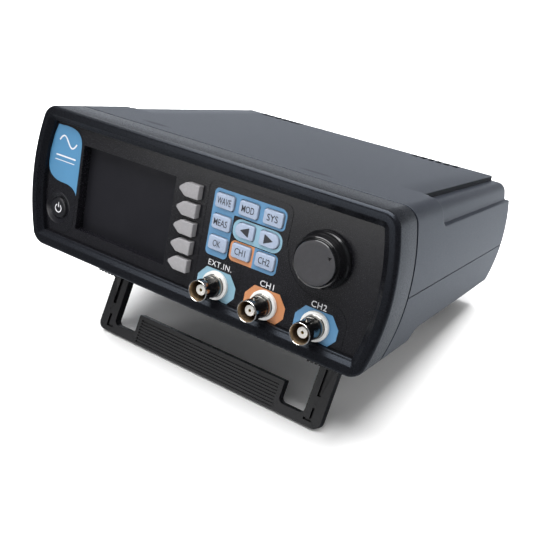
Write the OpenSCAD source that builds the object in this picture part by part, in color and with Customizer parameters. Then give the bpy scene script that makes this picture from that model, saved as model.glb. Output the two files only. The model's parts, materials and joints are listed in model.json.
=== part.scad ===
// Desktop function generator: a barrel-sided plastic case standing on its rear feet and an open front bail.
// Every part is drawn in the level case frame (x right, y back from the bezel's front edge, z up from the
// case bottom) and then set in its standing attitude by in_stance(). All sizes are in millimetres.

/* [Case] */
// Widest width of the case
case_w = 200; // [196:1:206]
// Height of the case from flat bottom to flat top
case_h = 71.4; // [70.6:0.2:73]
// Depth of the case from the bezel's front edge to the rear edge
case_d = 173; // [172:1:185]
// Radius of the barrel-shaped sides
side_r = 110; // [100:1:130]
// Radius of the four long corners
corner_r = 8; // [7.8:0.1:9]
// Wall thickness of the shells
wall = 2.2; // [2:0.1:2.4]
// Depth of the bezel ring
bezel_d = 20; // [19:0.5:22]
// Height of the parting line between the shells
split_z = 34.4; // [33:0.2:36]

/* [Corner recesses] */
// Where the four corner recesses start, behind the bezel's front edge
recess_y = 53; // [51:1:58]
// Depth of the corner recesses
recess_in = 2.6; // [2:0.1:2.8]
// Half-width of the raised flats between the corner recesses
plateau_half = 83.3; // [82.5:0.1:84]
// Height of a corner recess on the side walls
recess_side_h = 11.1; // [10.5:0.1:12]

/* [Front panel] */
// Depth of the panel face behind the bezel's front edge
panel_y = 4; // [3.8:0.1:4.4]
// Thickness of the panel
panel_t = 3; // [2.8:0.1:3]
// Width of the display opening
display_w = 57.2; // [54:0.2:58]
// Height of the display opening
display_h = 42.7; // [40:0.1:43]
// Sideways place of the display's centre
display_x = -41.6; // [-42:0.1:-40.6]
// Pitch of the display keys
softkey_pitch = 8.7; // [8.4:0.05:8.7]
// Width of a keypad key
key_w = 9.7; // [9:0.1:10]
// Height of a keypad key
key_h = 6.5; // [6:0.1:6.8]
// Press travel of the keys
key_travel = 0.5; // [0.3:0.05:0.5]

/* [Knob and sockets] */
// Radius of the knob's skirt
knob_r = 12.4; // [11:0.1:13]
// Radius of the knob's flat face
knob_face_r = 9.5; // [9:0.1:10]
// Height of the knob
knob_h = 9.4; // [9:0.1:11]
// Pitch of the three coaxial sockets
socket_pitch = 25.9; // [24:0.1:26]
// Reach of a socket in front of the panel
socket_reach = 14; // [13:0.5:16]

/* [Stand] */
// Forward lean of the open bail from the perpendicular to the case bottom
bail_lean = 16.4; // [14:0.1:18]
// Length of the bail from its pivot to its tip
bail_len = 42.7; // [40:0.1:46]
// Thickness of the bail
bail_t = 5; // [4.6:0.1:5.2]
// Half-width of the bail over its legs
bail_half = 71; // [70:0.5:71]
// Height of the feet
foot_h = 14.8; // [14:0.1:16]

/* [Hidden] */
$fn = 64;
eps = 0.01;
gap = 0.3;                    // side clearance of a moving key in its hole
fit = 0.05;                   // radial clearance of a turning or sliding fit

// Barrel outline: the side arcs' centre and the corner arcs' centres
side_cx = case_w / 2 - side_r;
corner_cx = side_cx + sqrt(pow(side_r - corner_r, 2) - pow(case_h / 2 - corner_r, 2));

// Insets of the nested outlines from the outer surface
rim_inset = 2;
flat_inset = 4.3;             // inner end of the bezel's flat front
slope_inset = 6;              // inner end of the slope behind it
slope_y = 1.6;
lip_inset = 6.95;
panel_inset = 7.3;
flange_inset = 4.8;
bezel_wall = 4.5;
lip_bottom = 7.75;
corner_wall = recess_in + wall;

// Depths of the layers behind the panel
panel_back = panel_y + panel_t;
tunnel_y = 9.3;               // rear end of the display tunnel
window_t = 1.5;
display_z = 35;               // height of the display's centre
film_t = 0.3;
film_gap = 0.25;              // clearance round a film in its recess
display_board_y = 19.5;
key_board_y = 15;
board_t = 1.6;
rear_wall_y = case_d - wall;

// Display keys and keypad
softkey_x = [-8.7, 2.1];      // tip and right edge
softkey_h = 6.4;
softkey_shoulder = 3.4;       // length of the pointed end
softkey_tip = 0.6;            // half-height of the blunt tip
softkey_mid = (softkey_x[0] + softkey_x[1]) / 2;
softkey_face = 1;
softkey_top = 53;
key_face = 2.8;
key_col = [15.1, 27.6, 40.1];
key_row = [52.8, 43.15, 33.5];
key_corner = 1.2;
key_flange = 0.8;
stem_end = 9.4;               // rear end of a key's stem at rest
stem_r = 1.5;

// Power button, knob and sockets
power_x = -83.3;
power_z = 20.8;
power_r = 5.2;
dish_r = 8;
dish_depth = 1.4;
power_travel = 1;
knob_x = 67;
knob_z = 43.5;
knob_y = panel_y - 0.6;       // rear edge of the knob's skirt
knob_mark_angle = 32;
shaft_r = 3;
bush_r = 3.5;
socket_x0 = 17.6;
socket_z = 14.5;
socket_hole = 4.8;
barrel_r = 4.83;
barrel_bore = 4.1;
lug_y = 5;                    // distance of the bayonet lugs behind the rim
lug_r = 0.98;
flange_r = 6.65;              // a socket's base flange
collar_r = 5.1;               // the collar between a socket's barrel and flange
barrel_relief = 0.23;         // cut-back of the barrel from its bayonet lugs to the collar
thread_r = 4.6;               // a socket's threaded rear end
insulator_r = 2.4;
insulator_in = 2.6;            // distance of an insulator's front behind the rim
contact_r = 0.7;
socket_end = 6;               // reach of a socket's rear end behind the panel

// Bail and feet
bail_leg_w = 10;
pivot_y = 46.5;
pivot_z = -7.7;
pivot_r = 2.5;
leg_boss_r = 3.9;
edge_r = 2;
foot_x = [58, 74];
foot_mid = (foot_x[0] + foot_x[1]) / 2;
foot_len = 24;
front_foot_y = 30;
rear_foot_y = 122;
foot_screw_in = 6;            // distance of a foot's screw from its front edge
rear_screw_in = 12;

// Stance: both contact edges are rounded with the same radius, so the table is parallel to the line
// through their centres
tip_local = [bail_t / 2 - edge_r, edge_r - bail_len];
tip_y = pivot_y + tip_local[0] * cos(bail_lean) + tip_local[1] * sin(bail_lean);
tip_z = pivot_z - tip_local[0] * sin(bail_lean) + tip_local[1] * cos(bail_lean);
rest_y = rear_foot_y + foot_len - edge_r;
rest_z = edge_r - foot_h;
stance_tilt = atan((rest_z - tip_z) / (rest_y - tip_y));
stance_y = -(rest_y * cos(stance_tilt) + rest_z * sin(stance_tilt));
stance_z = edge_r + rest_y * sin(stance_tilt) - rest_z * cos(stance_tilt);

// Case screws and board posts
case_screw = [[-80, 62], [80, 62], [-80, 156], [80, 156]];
main_board = [-70, 66, 140, 98];     // x, y, width, depth
main_board_z = 12;
main_post = [[-64, 72], [64, 72], [-64, 152], [64, 152]];
key_post = [[6.2, 59.5], [6.2, 13.2], [84, 58], [84, 29]];
display_post = [[-88, 57], [-40, 60.6], [-40, 10]];
post_r = 2.3;
screw_r = 1.1;
case_screw_r = 1.5;
foot_screw_r = 1.45;
chip_h = 1.6;
jack_x = -50;
chip_top = main_board_z + board_t + chip_h;

// ---------- placing and shared shapes ----------

module in_stance() {
    translate([0, stance_y, stance_z]) rotate([-stance_tilt, 0, 0]) children();
}

// Extrudes an (x, z) outline from y0 back to y1
module along_y(y0, y1) {
    translate([0, y1, 0]) rotate([90, 0, 0]) linear_extrude(y1 - y0) children();
}

// Extrudes a (y, z) outline from x0 to x1
module along_x(x0, x1) {
    translate([x0, 0, 0]) rotate([90, 0, 90]) linear_extrude(x1 - x0) children();
}

// A round bar along y, with its front end at y0
module bar_y(x, z, r, y0, y1) {
    translate([x, y1, z]) rotate([90, 0, 0]) cylinder(h = y1 - y0, r = r);
}

// The wedge of the right side that the big side arc bounds
module side_wedge_2d() {
    reach = 1.2;
    polygon([
        [side_cx, case_h / 2],
        [side_cx + reach * (corner_cx - side_cx), case_h / 2 - reach * (case_h / 2 - corner_r)],
        [side_cx + reach * (corner_cx - side_cx), case_h / 2 + reach * (case_h / 2 - corner_r)]
    ]);
}

// The case's barrel outline, inset from the outer surface
module barrel_2d(inset = 0) {
    translate([-corner_cx, inset]) square([2 * corner_cx, case_h - 2 * inset]);
    for (sx = [-1, 1], z = [corner_r, case_h - corner_r])
        translate([sx * corner_cx, z]) circle(corner_r - inset);
    for (side = [0, 1]) mirror([side, 0]) intersection() {
        translate([side_cx, case_h / 2]) circle(side_r - inset);
        side_wedge_2d();
    }
}

// Turns an edge profile round an axis along y; the profile's x is 0 at radius r and negative inside
module lathe_y(r) {
    rotate([-90, 0, 0]) rotate_extrude() intersection() {
        translate([r, 0]) children();
        translate([0, -1]) square([r + 1, case_d]);
    }
}

// The wedge that the top right corner arc bounds, with the arc's centre at the origin
module corner_wedge_2d() {
    reach = 2 * corner_r;
    rise = (case_h / 2 - corner_r) / (corner_cx - side_cx);
    polygon([[0, 0], [0, reach], [reach, reach], [reach, reach * rise]]);
}

// A solid with the barrel outline whose edge follows a profile: x from the outer surface, y the depth
module swept_barrel() {
    along_x(-corner_cx, corner_cx) intersection() {
        translate([0, case_h]) mirror([1, 0]) rotate(90) children();
        mirror([0, 1]) mirror([1, 0]) rotate(90) children();
    }
    translate([0, 0, case_h / 2]) for (side = [0, 1], low = [0, 1]) mirror([side, 0, 0]) mirror([0, 0, low])
        translate([corner_cx, 0, case_h / 2 - corner_r]) intersection() {
            lathe_y(corner_r) children();
            along_y(-1, case_d) corner_wedge_2d();
        }
    for (side = [0, 1]) mirror([side, 0, 0]) intersection() {
        translate([side_cx, 0, case_h / 2]) lathe_y(side_r) children();
        along_y(-1, case_d) side_wedge_2d();
    }
}

// The corner zones outside the raised flats, widened inwards by grow
module corner_zones_2d(grow = 0) {
    side = case_w / 2 - plateau_half + grow;
    tall = recess_side_h + grow;
    for (sx = [0, 1], sz = [0, 1])
        translate([0, sz * case_h]) mirror([sx, 0]) mirror([0, sz])
            translate([plateau_half - grow, -1]) square([side + 1, tall + 1]);
}

// The opening inside the bezel's lip, and the panel outlines that fit it
module opening_2d(inset) {
    low = inset - lip_inset + lip_bottom;
    intersection() {
        barrel_2d(inset);
        translate([-case_w / 2, low]) square([case_w, case_h - low]);
    }
}

module rounded_2d(w, h, r) {
    translate([-w / 2 + r, -h / 2]) square([w - 2 * r, h]);
    translate([-w / 2, -h / 2 + r]) square([w, h - 2 * r]);
    for (sx = [-1, 1], sz = [-1, 1]) translate([sx * (w / 2 - r), sz * (h / 2 - r)]) circle(r);
}

// A pan-head screw pointing along +z from the underside of its head
module screw(r, len, head_r, head_h) {
    cylinder(h = len, r = r);
    translate([0, 0, -head_h]) difference() {
        cylinder(h = head_h, r = head_r);
        translate([-head_r * 0.6, -head_r * 0.12, -eps]) cube([head_r * 1.2, head_r * 0.24, head_h * 0.5]);
        translate([-head_r * 0.12, -head_r * 0.6, -eps]) cube([head_r * 0.24, head_r * 1.2, head_h * 0.5]);
    }
}

// ---------- case ----------

module cavity() {
    along_y(bezel_d - 1, recess_y - wall) barrel_2d(wall);
    along_y(recess_y - wall - 1, rear_wall_y) {
        difference() {
            barrel_2d(wall);
            corner_zones_2d(wall);
        }
        barrel_2d(corner_wall);
    }
}

module shell_blank() {
    difference() {
        along_y(bezel_d, case_d) barrel_2d();
        cavity();
        along_y(recess_y, case_d + 1) difference() {
            corner_zones_2d();
            barrel_2d(recess_in);
        }
        along_y(rear_wall_y - 1, case_d + 1) translate([-72, 12]) square([144, 38]);
    }
}

module top_shell() {
    vent_w = 3.5;
    vent_pitch = 5;
    color("#3b3d42") in_stance() difference() {
        union() {
            intersection() {
                shell_blank();
                translate([-case_w, 0, split_z]) cube([2 * case_w, 2 * case_d, case_h]);
            }
            for (p = case_screw)
                translate([p[0], p[1], split_z + 1]) cylinder(h = case_h - wall - split_z - 0.5, r = 4);
            for (sx = [-1, 1]) translate([sx * 45 - 15, 166, case_h - wall - 6]) cube([30, 2, 6.5]);
        }
        // Groove for the lower shell's tongue
        along_y(recess_y, rear_wall_y - 4) intersection() {
            barrel_2d(wall / 2 - 0.1);
            translate([-case_w, split_z - 1]) square([2 * case_w, 2.6]);
        }
        for (p = case_screw) translate([p[0], p[1], split_z]) cylinder(h = 26, r = case_screw_r + fit);
        for (group = [-56.4, 50.7], i = [-2.5 : 2.5])
            translate([group + i * vent_pitch - vent_w / 2, case_d - 3.5, 54]) cube([vent_w, 10, 30]);
    }
}

module bottom_shell() {
    vent_w = 2;
    vent_pitch = 3.9;
    root = wall - 0.5;        // where bosses and ribs start, inside the floor
    color("#3b3d42") in_stance() difference() {
        union() {
            intersection() {
                shell_blank();
                translate([-case_w, 0, split_z - case_h]) cube([2 * case_w, 2 * case_d, case_h]);
            }
            for (p = case_screw) translate([p[0], p[1], root]) cylinder(h = split_z - root, r = 4);
            for (p = main_post) translate([p[0], p[1], root]) cylinder(h = main_board_z - root, r = 3.5);
            for (sx = [-1, 1], y = [front_foot_y + foot_screw_in, rear_foot_y + rear_screw_in])
                translate([sx * foot_mid, y, root]) cylinder(h = 7.3, r = 3.5);
            for (sx = [-1, 1]) translate([sx * 45 - 15, 166, root]) cube([30, 2, 6.5]);
            // Tongue along the side walls
            along_y(recess_y + 1, rear_wall_y - 5) intersection() {
                difference() {
                    barrel_2d(wall / 2 + 0.05);
                    barrel_2d(wall);
                }
                translate([-case_w, split_z - 1]) square([2 * case_w, 2.4]);
            }
        }
        for (p = case_screw) translate([p[0], p[1], -1]) {
            cylinder(h = 50, r = 1.75);
            cylinder(h = 5, r = 3.1);
        }
        for (p = main_post) translate([p[0], p[1], wall + 1]) cylinder(h = 20, r = screw_r + fit);
        for (sx = [-1, 1], y = [front_foot_y + foot_screw_in, rear_foot_y + rear_screw_in])
            translate([sx * foot_mid, y, -1]) cylinder(h = 8.5, r = foot_screw_r + fit);
        // Rows of slots in the lower corner recesses
        for (sx = [0, 1], i = [0 : 19]) mirror([sx, 0, 0])
            translate([84.5, 79 + i * vent_pitch, -1]) cube([7, vent_w, 6.2]);
        // Slots in the floor under the main board
        for (sx = [-1, 1], i = [0 : 7])
            translate([sx * 32 - 15, 86 + i * 6, -1]) cube([30, 2.4, wall + 2]);
    }
}

module front_bezel() {
    rim_facet = rim_inset * (1 - cos(30));
    deep = case_w;
    color("#232427") in_stance() difference() {
        union() {
            swept_barrel() polygon([
                [-deep, 0], [-rim_inset, 0], [-rim_inset / 2, rim_facet], [-rim_facet, rim_inset / 2],
                [0, rim_inset], [0, bezel_d], [-deep, bezel_d]
            ]);
            // Spigot that enters the shells
            along_y(bezel_d - 1, bezel_d + 6) difference() {
                barrel_2d(wall + 0.1);
                barrel_2d(bezel_wall - 0.1);
            }
        }
        // Slope from the flat front to the ledge round the opening
        swept_barrel() polygon([
            [-deep, -1], [-flat_inset, -1], [-flat_inset, 0], [-slope_inset, slope_y], [-deep, slope_y]
        ]);
        along_y(-1, panel_y + 2.2) opening_2d(lip_inset);
        along_y(panel_y + 2, bezel_d + 8) barrel_2d(bezel_wall);
    }
}

module softkey_2d(grow = 0) {
    half = softkey_h / 2 + grow;
    polygon([
        [softkey_x[0] - grow, -softkey_tip], [softkey_x[0] - grow, softkey_tip],
        [softkey_x[0] + softkey_shoulder, half], [softkey_x[1] + grow, half],
        [softkey_x[1] + grow, -half], [softkey_x[0] + softkey_shoulder, -half]
    ]);
}

function softkey_z(i) = softkey_top - i * softkey_pitch;

// A keypad key's outline; side -1 or 1 rounds that end fully, 0 rounds only the corners
module key_2d(side = 0, grow = 0) {
    w = key_w + 2 * grow;
    h = key_h + 2 * grow;
    rounded_end = h / 2;
    if (side == 0) rounded_2d(w, h, key_corner + grow);
    else mirror([side > 0 ? 1 : 0, 0]) {
        translate([-w / 2 + rounded_end, 0]) circle(rounded_end);
        translate([-w / 2 + rounded_end, -h / 2]) square([w - rounded_end - key_corner, h]);
        translate([-w / 2 + rounded_end, -h / 2 + key_corner]) square([w - rounded_end, h - 2 * key_corner]);
        for (sz = [-1, 1]) translate([w / 2 - key_corner, sz * (h / 2 - key_corner)]) circle(key_corner);
    }
}

// Which end of each key of the middle row is fully rounded
function key_side(col, row) = row == 1 && col > 0 ? 2 * col - 3 : 0;

// Outline of the keypad film: its right edge runs round the knob
module keypad_film_2d(inset = 0) {
    left = 5.4 + inset;
    top = 60.8 - inset;
    low = lip_bottom + 1.2 + inset;
    right = 48.8 - inset;
    shelf = 26.6 - inset;
    far = 83.2 - inset;
    round_far = 9 - inset;
    round_top = 4 - inset;
    difference() {
        union() {
            translate([left + round_top, low]) square([right - round_top - left - round_top, top - low]);
            translate([left, low]) square([right - left, top - low - round_top]);
            for (x = [left + round_top, right - round_top]) translate([x, top - round_top]) circle(round_top);
            translate([right - 8, low]) square([far - round_far - right + 8, shelf - low]);
            translate([right, low]) square([far - right, shelf - round_far - low]);
            translate([far - round_far, shelf - round_far]) circle(round_far);
            translate([right - 4, shelf - 4]) square([knob_x - right + 4, 14]);
        }
        translate([right, shelf]) square([knob_x - right + 10, 40]);
    }
    // The part beside the knob, cut back by a circle about the knob's axis
    difference() {
        translate([right - 4, shelf - 1]) square([knob_x - right + 4, knob_z - shelf]);
        translate([knob_x, knob_z]) circle(17 + inset);
    }
}

// Outline of the left film, which carries the badge and frames the power button
module left_film_2d(inset = 0) {
    right = -71.9 - inset;
    low = lip_bottom + 1.2 + inset;
    top = case_h - panel_inset - 0.7 - inset;
    round_low = 8 - inset;
    round_top = 6 - inset;
    intersection() {
        translate([-side_cx, case_h / 2]) circle(side_r - panel_inset - 0.7 - inset);
        union() {
            translate([-case_w / 2, low]) square([case_w / 2 + right - round_low, top - low]);
            translate([right - round_low - 1, low + round_low])
                square([round_low + 1, top - round_top - low - round_low]);
            translate([right - round_low, low + round_low]) circle(round_low);
            translate([right - round_low - 1, low + 12]) square([round_low + 1 - round_top, top - low - 12]);
            translate([right - round_top, top - round_top]) circle(round_top);
        }
    }
}

module front_panel() {
    color("#2a2b2f") in_stance() difference() {
        union() {
            along_y(panel_y, panel_back) opening_2d(panel_inset);
            along_y(panel_y + 2.3, panel_back) barrel_2d(flange_inset);
            // Tunnel down to the display window
            along_y(panel_y + 1, tunnel_y) translate([display_x, display_z])
                square([display_w + 3, display_h + 3], center = true);
            for (p = key_post) bar_y(p[0], p[1], post_r, panel_back - 1, key_board_y);
            for (p = display_post) bar_y(p[0], p[1], post_r, panel_back - 1, display_board_y);
        }
        along_y(-1, tunnel_y + 1) translate([display_x, display_z])
            square([display_w, display_h], center = true);
        along_y(panel_y - 1, panel_y + film_t) left_film_2d();
        along_y(panel_y - 1, panel_y + film_t) keypad_film_2d();
        for (i = [0 : 4]) along_y(0, 10) translate([0, softkey_z(i)]) softkey_2d(gap);
        for (c = [0 : 2], r = [0 : 2])
            along_y(0, 10) translate([key_col[c], key_row[r]]) key_2d(key_side(c, r), gap);
        bar_y(power_x, power_z, power_r + gap, 0, 10);
        translate([power_x, panel_y + dish_depth, power_z]) rotate([90, 0, 0])
            cylinder(h = dish_depth + eps, r1 = power_r + 0.6, r2 = dish_r);
        bar_y(knob_x, knob_z, bush_r + 0.1, 0, 10);
        for (i = [0 : 2]) bar_y(socket_x0 + i * socket_pitch, socket_z, socket_hole, 0, 10);
        for (p = key_post) bar_y(p[0], p[1], screw_r + fit, panel_back, key_board_y + 1);
        for (p = display_post) bar_y(p[0], p[1], screw_r + fit, panel_back, display_board_y + 1);
    }
}

module rear_panel() {
    color("#303236") in_stance() difference() {
        along_y(rear_wall_y - 2.2, rear_wall_y - 0.1) translate([-76, 9]) square([152, 45]);
        along_y(rear_wall_y - 5, case_d) {
            translate([-50, 19.3]) square([9.4, 11.4], center = true);
            translate([-25, 19.3]) square([12.4, 11.4], center = true);
            translate([5, 16.3]) square([20.4, 5.4], center = true);
        }
    }
}

module left_film() {
    color("#232428") in_stance() difference() {
        along_y(panel_y, panel_y + film_t) left_film_2d(film_gap);
        bar_y(power_x, power_z, dish_r + 0.2, 0, 10);
    }
}

module keypad_film() {
    color("#26272b") in_stance() difference() {
        along_y(panel_y, panel_y + film_t) keypad_film_2d(film_gap);
        for (c = [0 : 2], r = [0 : 2])
            along_y(0, 10) translate([key_col[c], key_row[r]]) key_2d(key_side(c, r), gap);
        for (i = [0 : 2]) bar_y(socket_x0 + i * socket_pitch, socket_z, socket_hole, 0, 10);
    }
}

// ---------- display and front boards ----------

module display_window() {
    color("#0d0e10") in_stance() along_y(tunnel_y, tunnel_y + window_t) translate([display_x, display_z])
        square([display_w + 2.6, display_h + 2.6], center = true);
}

module lcd_frame() {
    color("silver") in_stance() difference() {
        along_y(tunnel_y + window_t + 0.1, display_board_y - 0.1) translate([display_x, display_z])
            square([56, 44], center = true);
        along_y(0, tunnel_y + window_t + 3) translate([display_x, display_z]) square([50, 38], center = true);
    }
}

module lcd_glass() {
    color("#15181c") in_stance() along_y(tunnel_y + window_t + 0.4, tunnel_y + window_t + 2.9)
        translate([display_x, display_z]) square([49.6, 37.6], center = true);
}

module display_board() {
    color("darkgreen") in_stance() difference() {
        along_y(display_board_y, display_board_y + board_t) polygon(
            [[-91, 20], [-88, 9], [-12, 8], [-12, 63], [-88, 62], [-91, 52]]);
        for (p = display_post) bar_y(p[0], p[1], screw_r + 0.2, 0, 30);
    }
}

module key_board() {
    color("darkgreen") in_stance() difference() {
        along_y(key_board_y, key_board_y + board_t) polygon(
            [[-10.5, 10], [9, 10], [9, 24], [89, 24], [89, 62], [-10.5, 62]]);
        for (p = key_post) bar_y(p[0], p[1], screw_r + 0.2, 0, 30);
    }
}

module board_screws() {
    color("silver") in_stance() {
        for (p = key_post) translate([p[0], key_board_y + board_t, p[1]]) rotate([90, 0, 0])
            screw(screw_r, 7, 2, 1.4);
        for (p = display_post) translate([p[0], display_board_y + board_t, p[1]]) rotate([90, 0, 0])
            screw(screw_r, 7, 2, 1.4);
    }
}

// A cap with a retaining flange behind the panel and a stem towards its switch
module key_body(x, z, face) {
    along_y(face, panel_back + 0.8) children(0);
    along_y(panel_back + 0.3, panel_back + 1.3) children(1);
    bar_y(x, z, stem_r, panel_back + 1, stem_end);
}

module softkey(i) {
    z = softkey_z(i);
    color("#b9b6ae") in_stance() key_body(softkey_mid, z, softkey_face) {
        translate([0, z]) softkey_2d();
        translate([0, z]) softkey_2d(key_flange);
    }
}

module keypad_key(col, row) {
    x = key_col[col];
    z = key_row[row];
    color("#b8c0d2") in_stance() key_body(x, z, key_face) {
        translate([x, z]) key_2d(key_side(col, row));
        translate([x, z]) square([key_w + 2 * key_flange, key_h + 2 * key_flange], center = true);
    }
}

module softkey_1() softkey(0);
module softkey_2() softkey(1);
module softkey_3() softkey(2);
module softkey_4() softkey(3);
module softkey_5() softkey(4);
module key_wave() keypad_key(0, 0);
module key_mod() keypad_key(1, 0);
module key_sys() keypad_key(2, 0);
module key_meas() keypad_key(0, 1);
module key_left() keypad_key(1, 1);
module key_right() keypad_key(2, 1);
module key_ok() keypad_key(0, 2);
module key_ch1() keypad_key(1, 2);
module key_ch2() keypad_key(2, 2);

module tact_switch(x, z) {
    front = stem_end + key_travel + 0.1;
    along_y(key_board_y - 3.5, key_board_y) translate([x, z]) square([6, 6], center = true);
    bar_y(x, z, 1.7, front, key_board_y - 3);
}

module tact_switches() {
    color("dimgray") in_stance() {
        for (i = [0 : 4]) tact_switch(softkey_mid, softkey_z(i));
        for (x = key_col, z = key_row) tact_switch(x, z);
    }
}

module power_button() {
    color("#232428") in_stance() {
        bar_y(power_x, power_z, power_r, panel_y + 0.2, panel_back + 0.8);
        bar_y(power_x, power_z, power_r + 1, panel_back + 0.3, panel_back + 1.3);
        bar_y(power_x, power_z, stem_r, panel_back + 1, 10);
    }
}

module power_switch() {
    front = 10 + power_travel + 0.1;
    color("dimgray") in_stance() {
        along_y(front + 1.5, display_board_y) translate([power_x, power_z]) square([8, 8], center = true);
        bar_y(power_x, power_z, 1.7, front, front + 2);
    }
}

// ---------- knob and encoder ----------

module knob() {
    hollow_r = 8.6;
    hollow_h = 4;
    ring_r = knob_face_r + 0.9;
    shoulder_h = knob_h - 1.4;
    color("#1b1c1f") in_stance() translate([knob_x, knob_y, knob_z]) rotate([90, 0, 0]) difference() {
        rotate_extrude() polygon([
            [0, 0], [knob_r - 0.4, 0], [knob_r, 0.4], [knob_r, 1.4], [knob_r - 0.9, 2.4],
            [ring_r + 0.3, shoulder_h], [ring_r, shoulder_h + 0.5], [knob_face_r + 0.1, shoulder_h + 0.5],
            [knob_face_r + 0.1, knob_h - 0.3], [knob_face_r - 0.2, knob_h], [0, knob_h]
        ]);
        translate([0, 0, -1]) cylinder(h = hollow_h + 1, r = hollow_r);
        cylinder(h = knob_h - 1.4, r = shaft_r + fit);
        // Mark near the rim of the face
        rotate(knob_mark_angle) translate([knob_face_r - 2.9, -0.5, knob_h - 0.3]) cube([1.9, 1, 1]);
    }
}

module encoder_shaft() {
    color("silver") in_stance() difference() {
        bar_y(knob_x, knob_z, shaft_r, knob_y - knob_h + 1.6, key_board_y - 0.6);
        translate([knob_x - 5, knob_y - knob_h, knob_z + 1.6]) cube([10, 5.6, 4]);
    }
}

module encoder_body() {
    front = panel_back;
    color("silver") in_stance() difference() {
        union() {
            along_y(front, key_board_y) translate([knob_x, knob_z]) square([12, 13.4], center = true);
            bar_y(knob_x, knob_z, bush_r, 1, front + 0.5);
        }
        bar_y(knob_x, knob_z, shaft_r + fit, 0, key_board_y - 0.5);
    }
}

module encoder_nut() {
    color("silver") in_stance() difference() {
        union() {
            bar_y(knob_x, knob_z, 5.6, panel_y - 0.5, panel_y);
            translate([knob_x, panel_y - 0.5, knob_z]) rotate([90, 0, 0]) cylinder(h = 2, r = 5.7, $fn = 6);
        }
        bar_y(knob_x, knob_z, bush_r + 0.02, 0, 10);
    }
}

// ---------- coaxial sockets ----------

module socket(i) {
    rim = panel_y - socket_reach;
    x = socket_x0 + i * socket_pitch;
    color("#8d8f94") in_stance() difference() {
        union() {
            bar_y(x, socket_z, barrel_r, rim, rim + lug_y - lug_r - 0.1);
            bar_y(x, socket_z, barrel_r - barrel_relief, rim + 1, panel_y - 3);
            bar_y(x, socket_z, collar_r, panel_y - 4.6, panel_y - 1.7);
            bar_y(x, socket_z, flange_r, panel_y - 1.8, panel_y);
            bar_y(x, socket_z, thread_r, panel_y - 1, panel_back + socket_end);
            translate([x, rim + lug_y, socket_z]) cylinder(h = 11, r = lug_r, center = true);
        }
        bar_y(x, socket_z, barrel_bore, rim - 1, panel_y - 2.5);
        bar_y(x, socket_z, insulator_r, rim, panel_back + socket_end + 1);
    }
}

module socket_ext_in() socket(0);
module socket_ch1() socket(1);
module socket_ch2() socket(2);

module socket_insulators() {
    color("white") in_stance() for (i = [0 : 2]) {
        x = socket_x0 + i * socket_pitch;
        rim = panel_y - socket_reach;
        difference() {
            bar_y(x, socket_z, insulator_r - 0.02, rim + insulator_in, panel_back + socket_end + 0.5);
            bar_y(x, socket_z, contact_r + 0.02, rim, panel_back + socket_end + 1);
        }
    }
}

module socket_contacts() {
    color("gold") in_stance() for (i = [0 : 2]) {
        x = socket_x0 + i * socket_pitch;
        rim = panel_y - socket_reach;
        difference() {
            bar_y(x, socket_z, contact_r, rim + insulator_in + 0.2, panel_back + socket_end + 3);
            bar_y(x, socket_z, 0.45, rim, rim + insulator_in + 5);
        }
    }
}

module socket_nuts() {
    color("silver") in_stance() for (i = [0 : 2]) difference() {
        x = socket_x0 + i * socket_pitch;
        union() {
            bar_y(x, socket_z, flange_r, panel_back, panel_back + 0.8);
            translate([x, panel_back + 3.4, socket_z]) rotate([90, 0, 0]) cylinder(h = 2.6, r = 7.2, $fn = 6);
        }
        bar_y(x, socket_z, thread_r + 0.02, 0, 20);
    }
}

module socket_leads() {
    color("#2b2b2b") in_stance() for (i = [0 : 2]) {
        x = socket_x0 + i * socket_pitch;
        bar_y(x, socket_z, 0.9, panel_back + socket_end + 3, main_board[1] + 6);
    }
}

// ---------- main board ----------

module main_board() {
    color("darkgreen") in_stance() difference() {
        translate([main_board[0], main_board[1], main_board_z]) cube([main_board[2], main_board[3], board_t]);
        for (p = main_post) translate([p[0], p[1], 0]) cylinder(h = 30, r = screw_r + 0.2);
    }
}

module main_board_screws() {
    color("silver") in_stance() for (p = main_post)
        translate([p[0], p[1], main_board_z + board_t]) rotate([180, 0, 0]) screw(screw_r, 7, 2.2, 1.5);
}

module main_chips() {
    // Each chip's centre and side length
    chips = [[-30, 110, 20], [20, 96, 14], [44, 96, 14], [-52, 96, 8], [-6, 140, 10]];
    color("#1c1c1e") in_stance() for (c = chips)
        translate([c[0] - c[2] / 2, c[1] - c[2] / 2, main_board_z + board_t]) cube([c[2], c[2], chip_h]);
}

module heatsink() {
    color("silver") in_stance() translate([8, 82, chip_top]) {
        cube([48, 28, 3]);
        for (i = [0 : 8]) translate([i * 5.8, 0, 2.5]) cube([1.6, 28, 14]);
    }
}

module buzzer() {
    color("#1c1c1e") in_stance() translate([-20, 78, main_board_z + board_t]) difference() {
        cylinder(h = 8, r = 6);
        translate([0, 0, 4]) cylinder(h = 5, r = 1);
    }
}

// Flat cables from the two front boards down to the main board
module ribbon_cable(x0, x1, board_back, from_z) {
    t = 0.9;
    land = main_board_z + board_t;
    end = main_board[1] + 10;
    along_x(x0, x1) polygon([
        [board_back, from_z], [board_back + 22, from_z], [board_back + 42, land + t], [end, land + t],
        [end, land], [board_back + 41.6, land], [board_back + 21.6, from_z - t], [board_back, from_z - t]
    ]);
}

module ribbon_cables() {
    color("#9fa3a8") in_stance() {
        ribbon_cable(20, 36, key_board_y + board_t, 30);
        ribbon_cable(-60, -44, display_board_y + board_t, 26);
    }
}

// ---------- rear connectors ----------

module dc_jack() {
    base = main_board_z + board_t;
    color("#161618") in_stance() difference() {
        translate([jack_x - 4.5, case_d - 16, base]) cube([9, 14.5, 11]);
        bar_y(jack_x, base + 6, 3.1, case_d - 12, case_d);
    }
}

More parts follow.
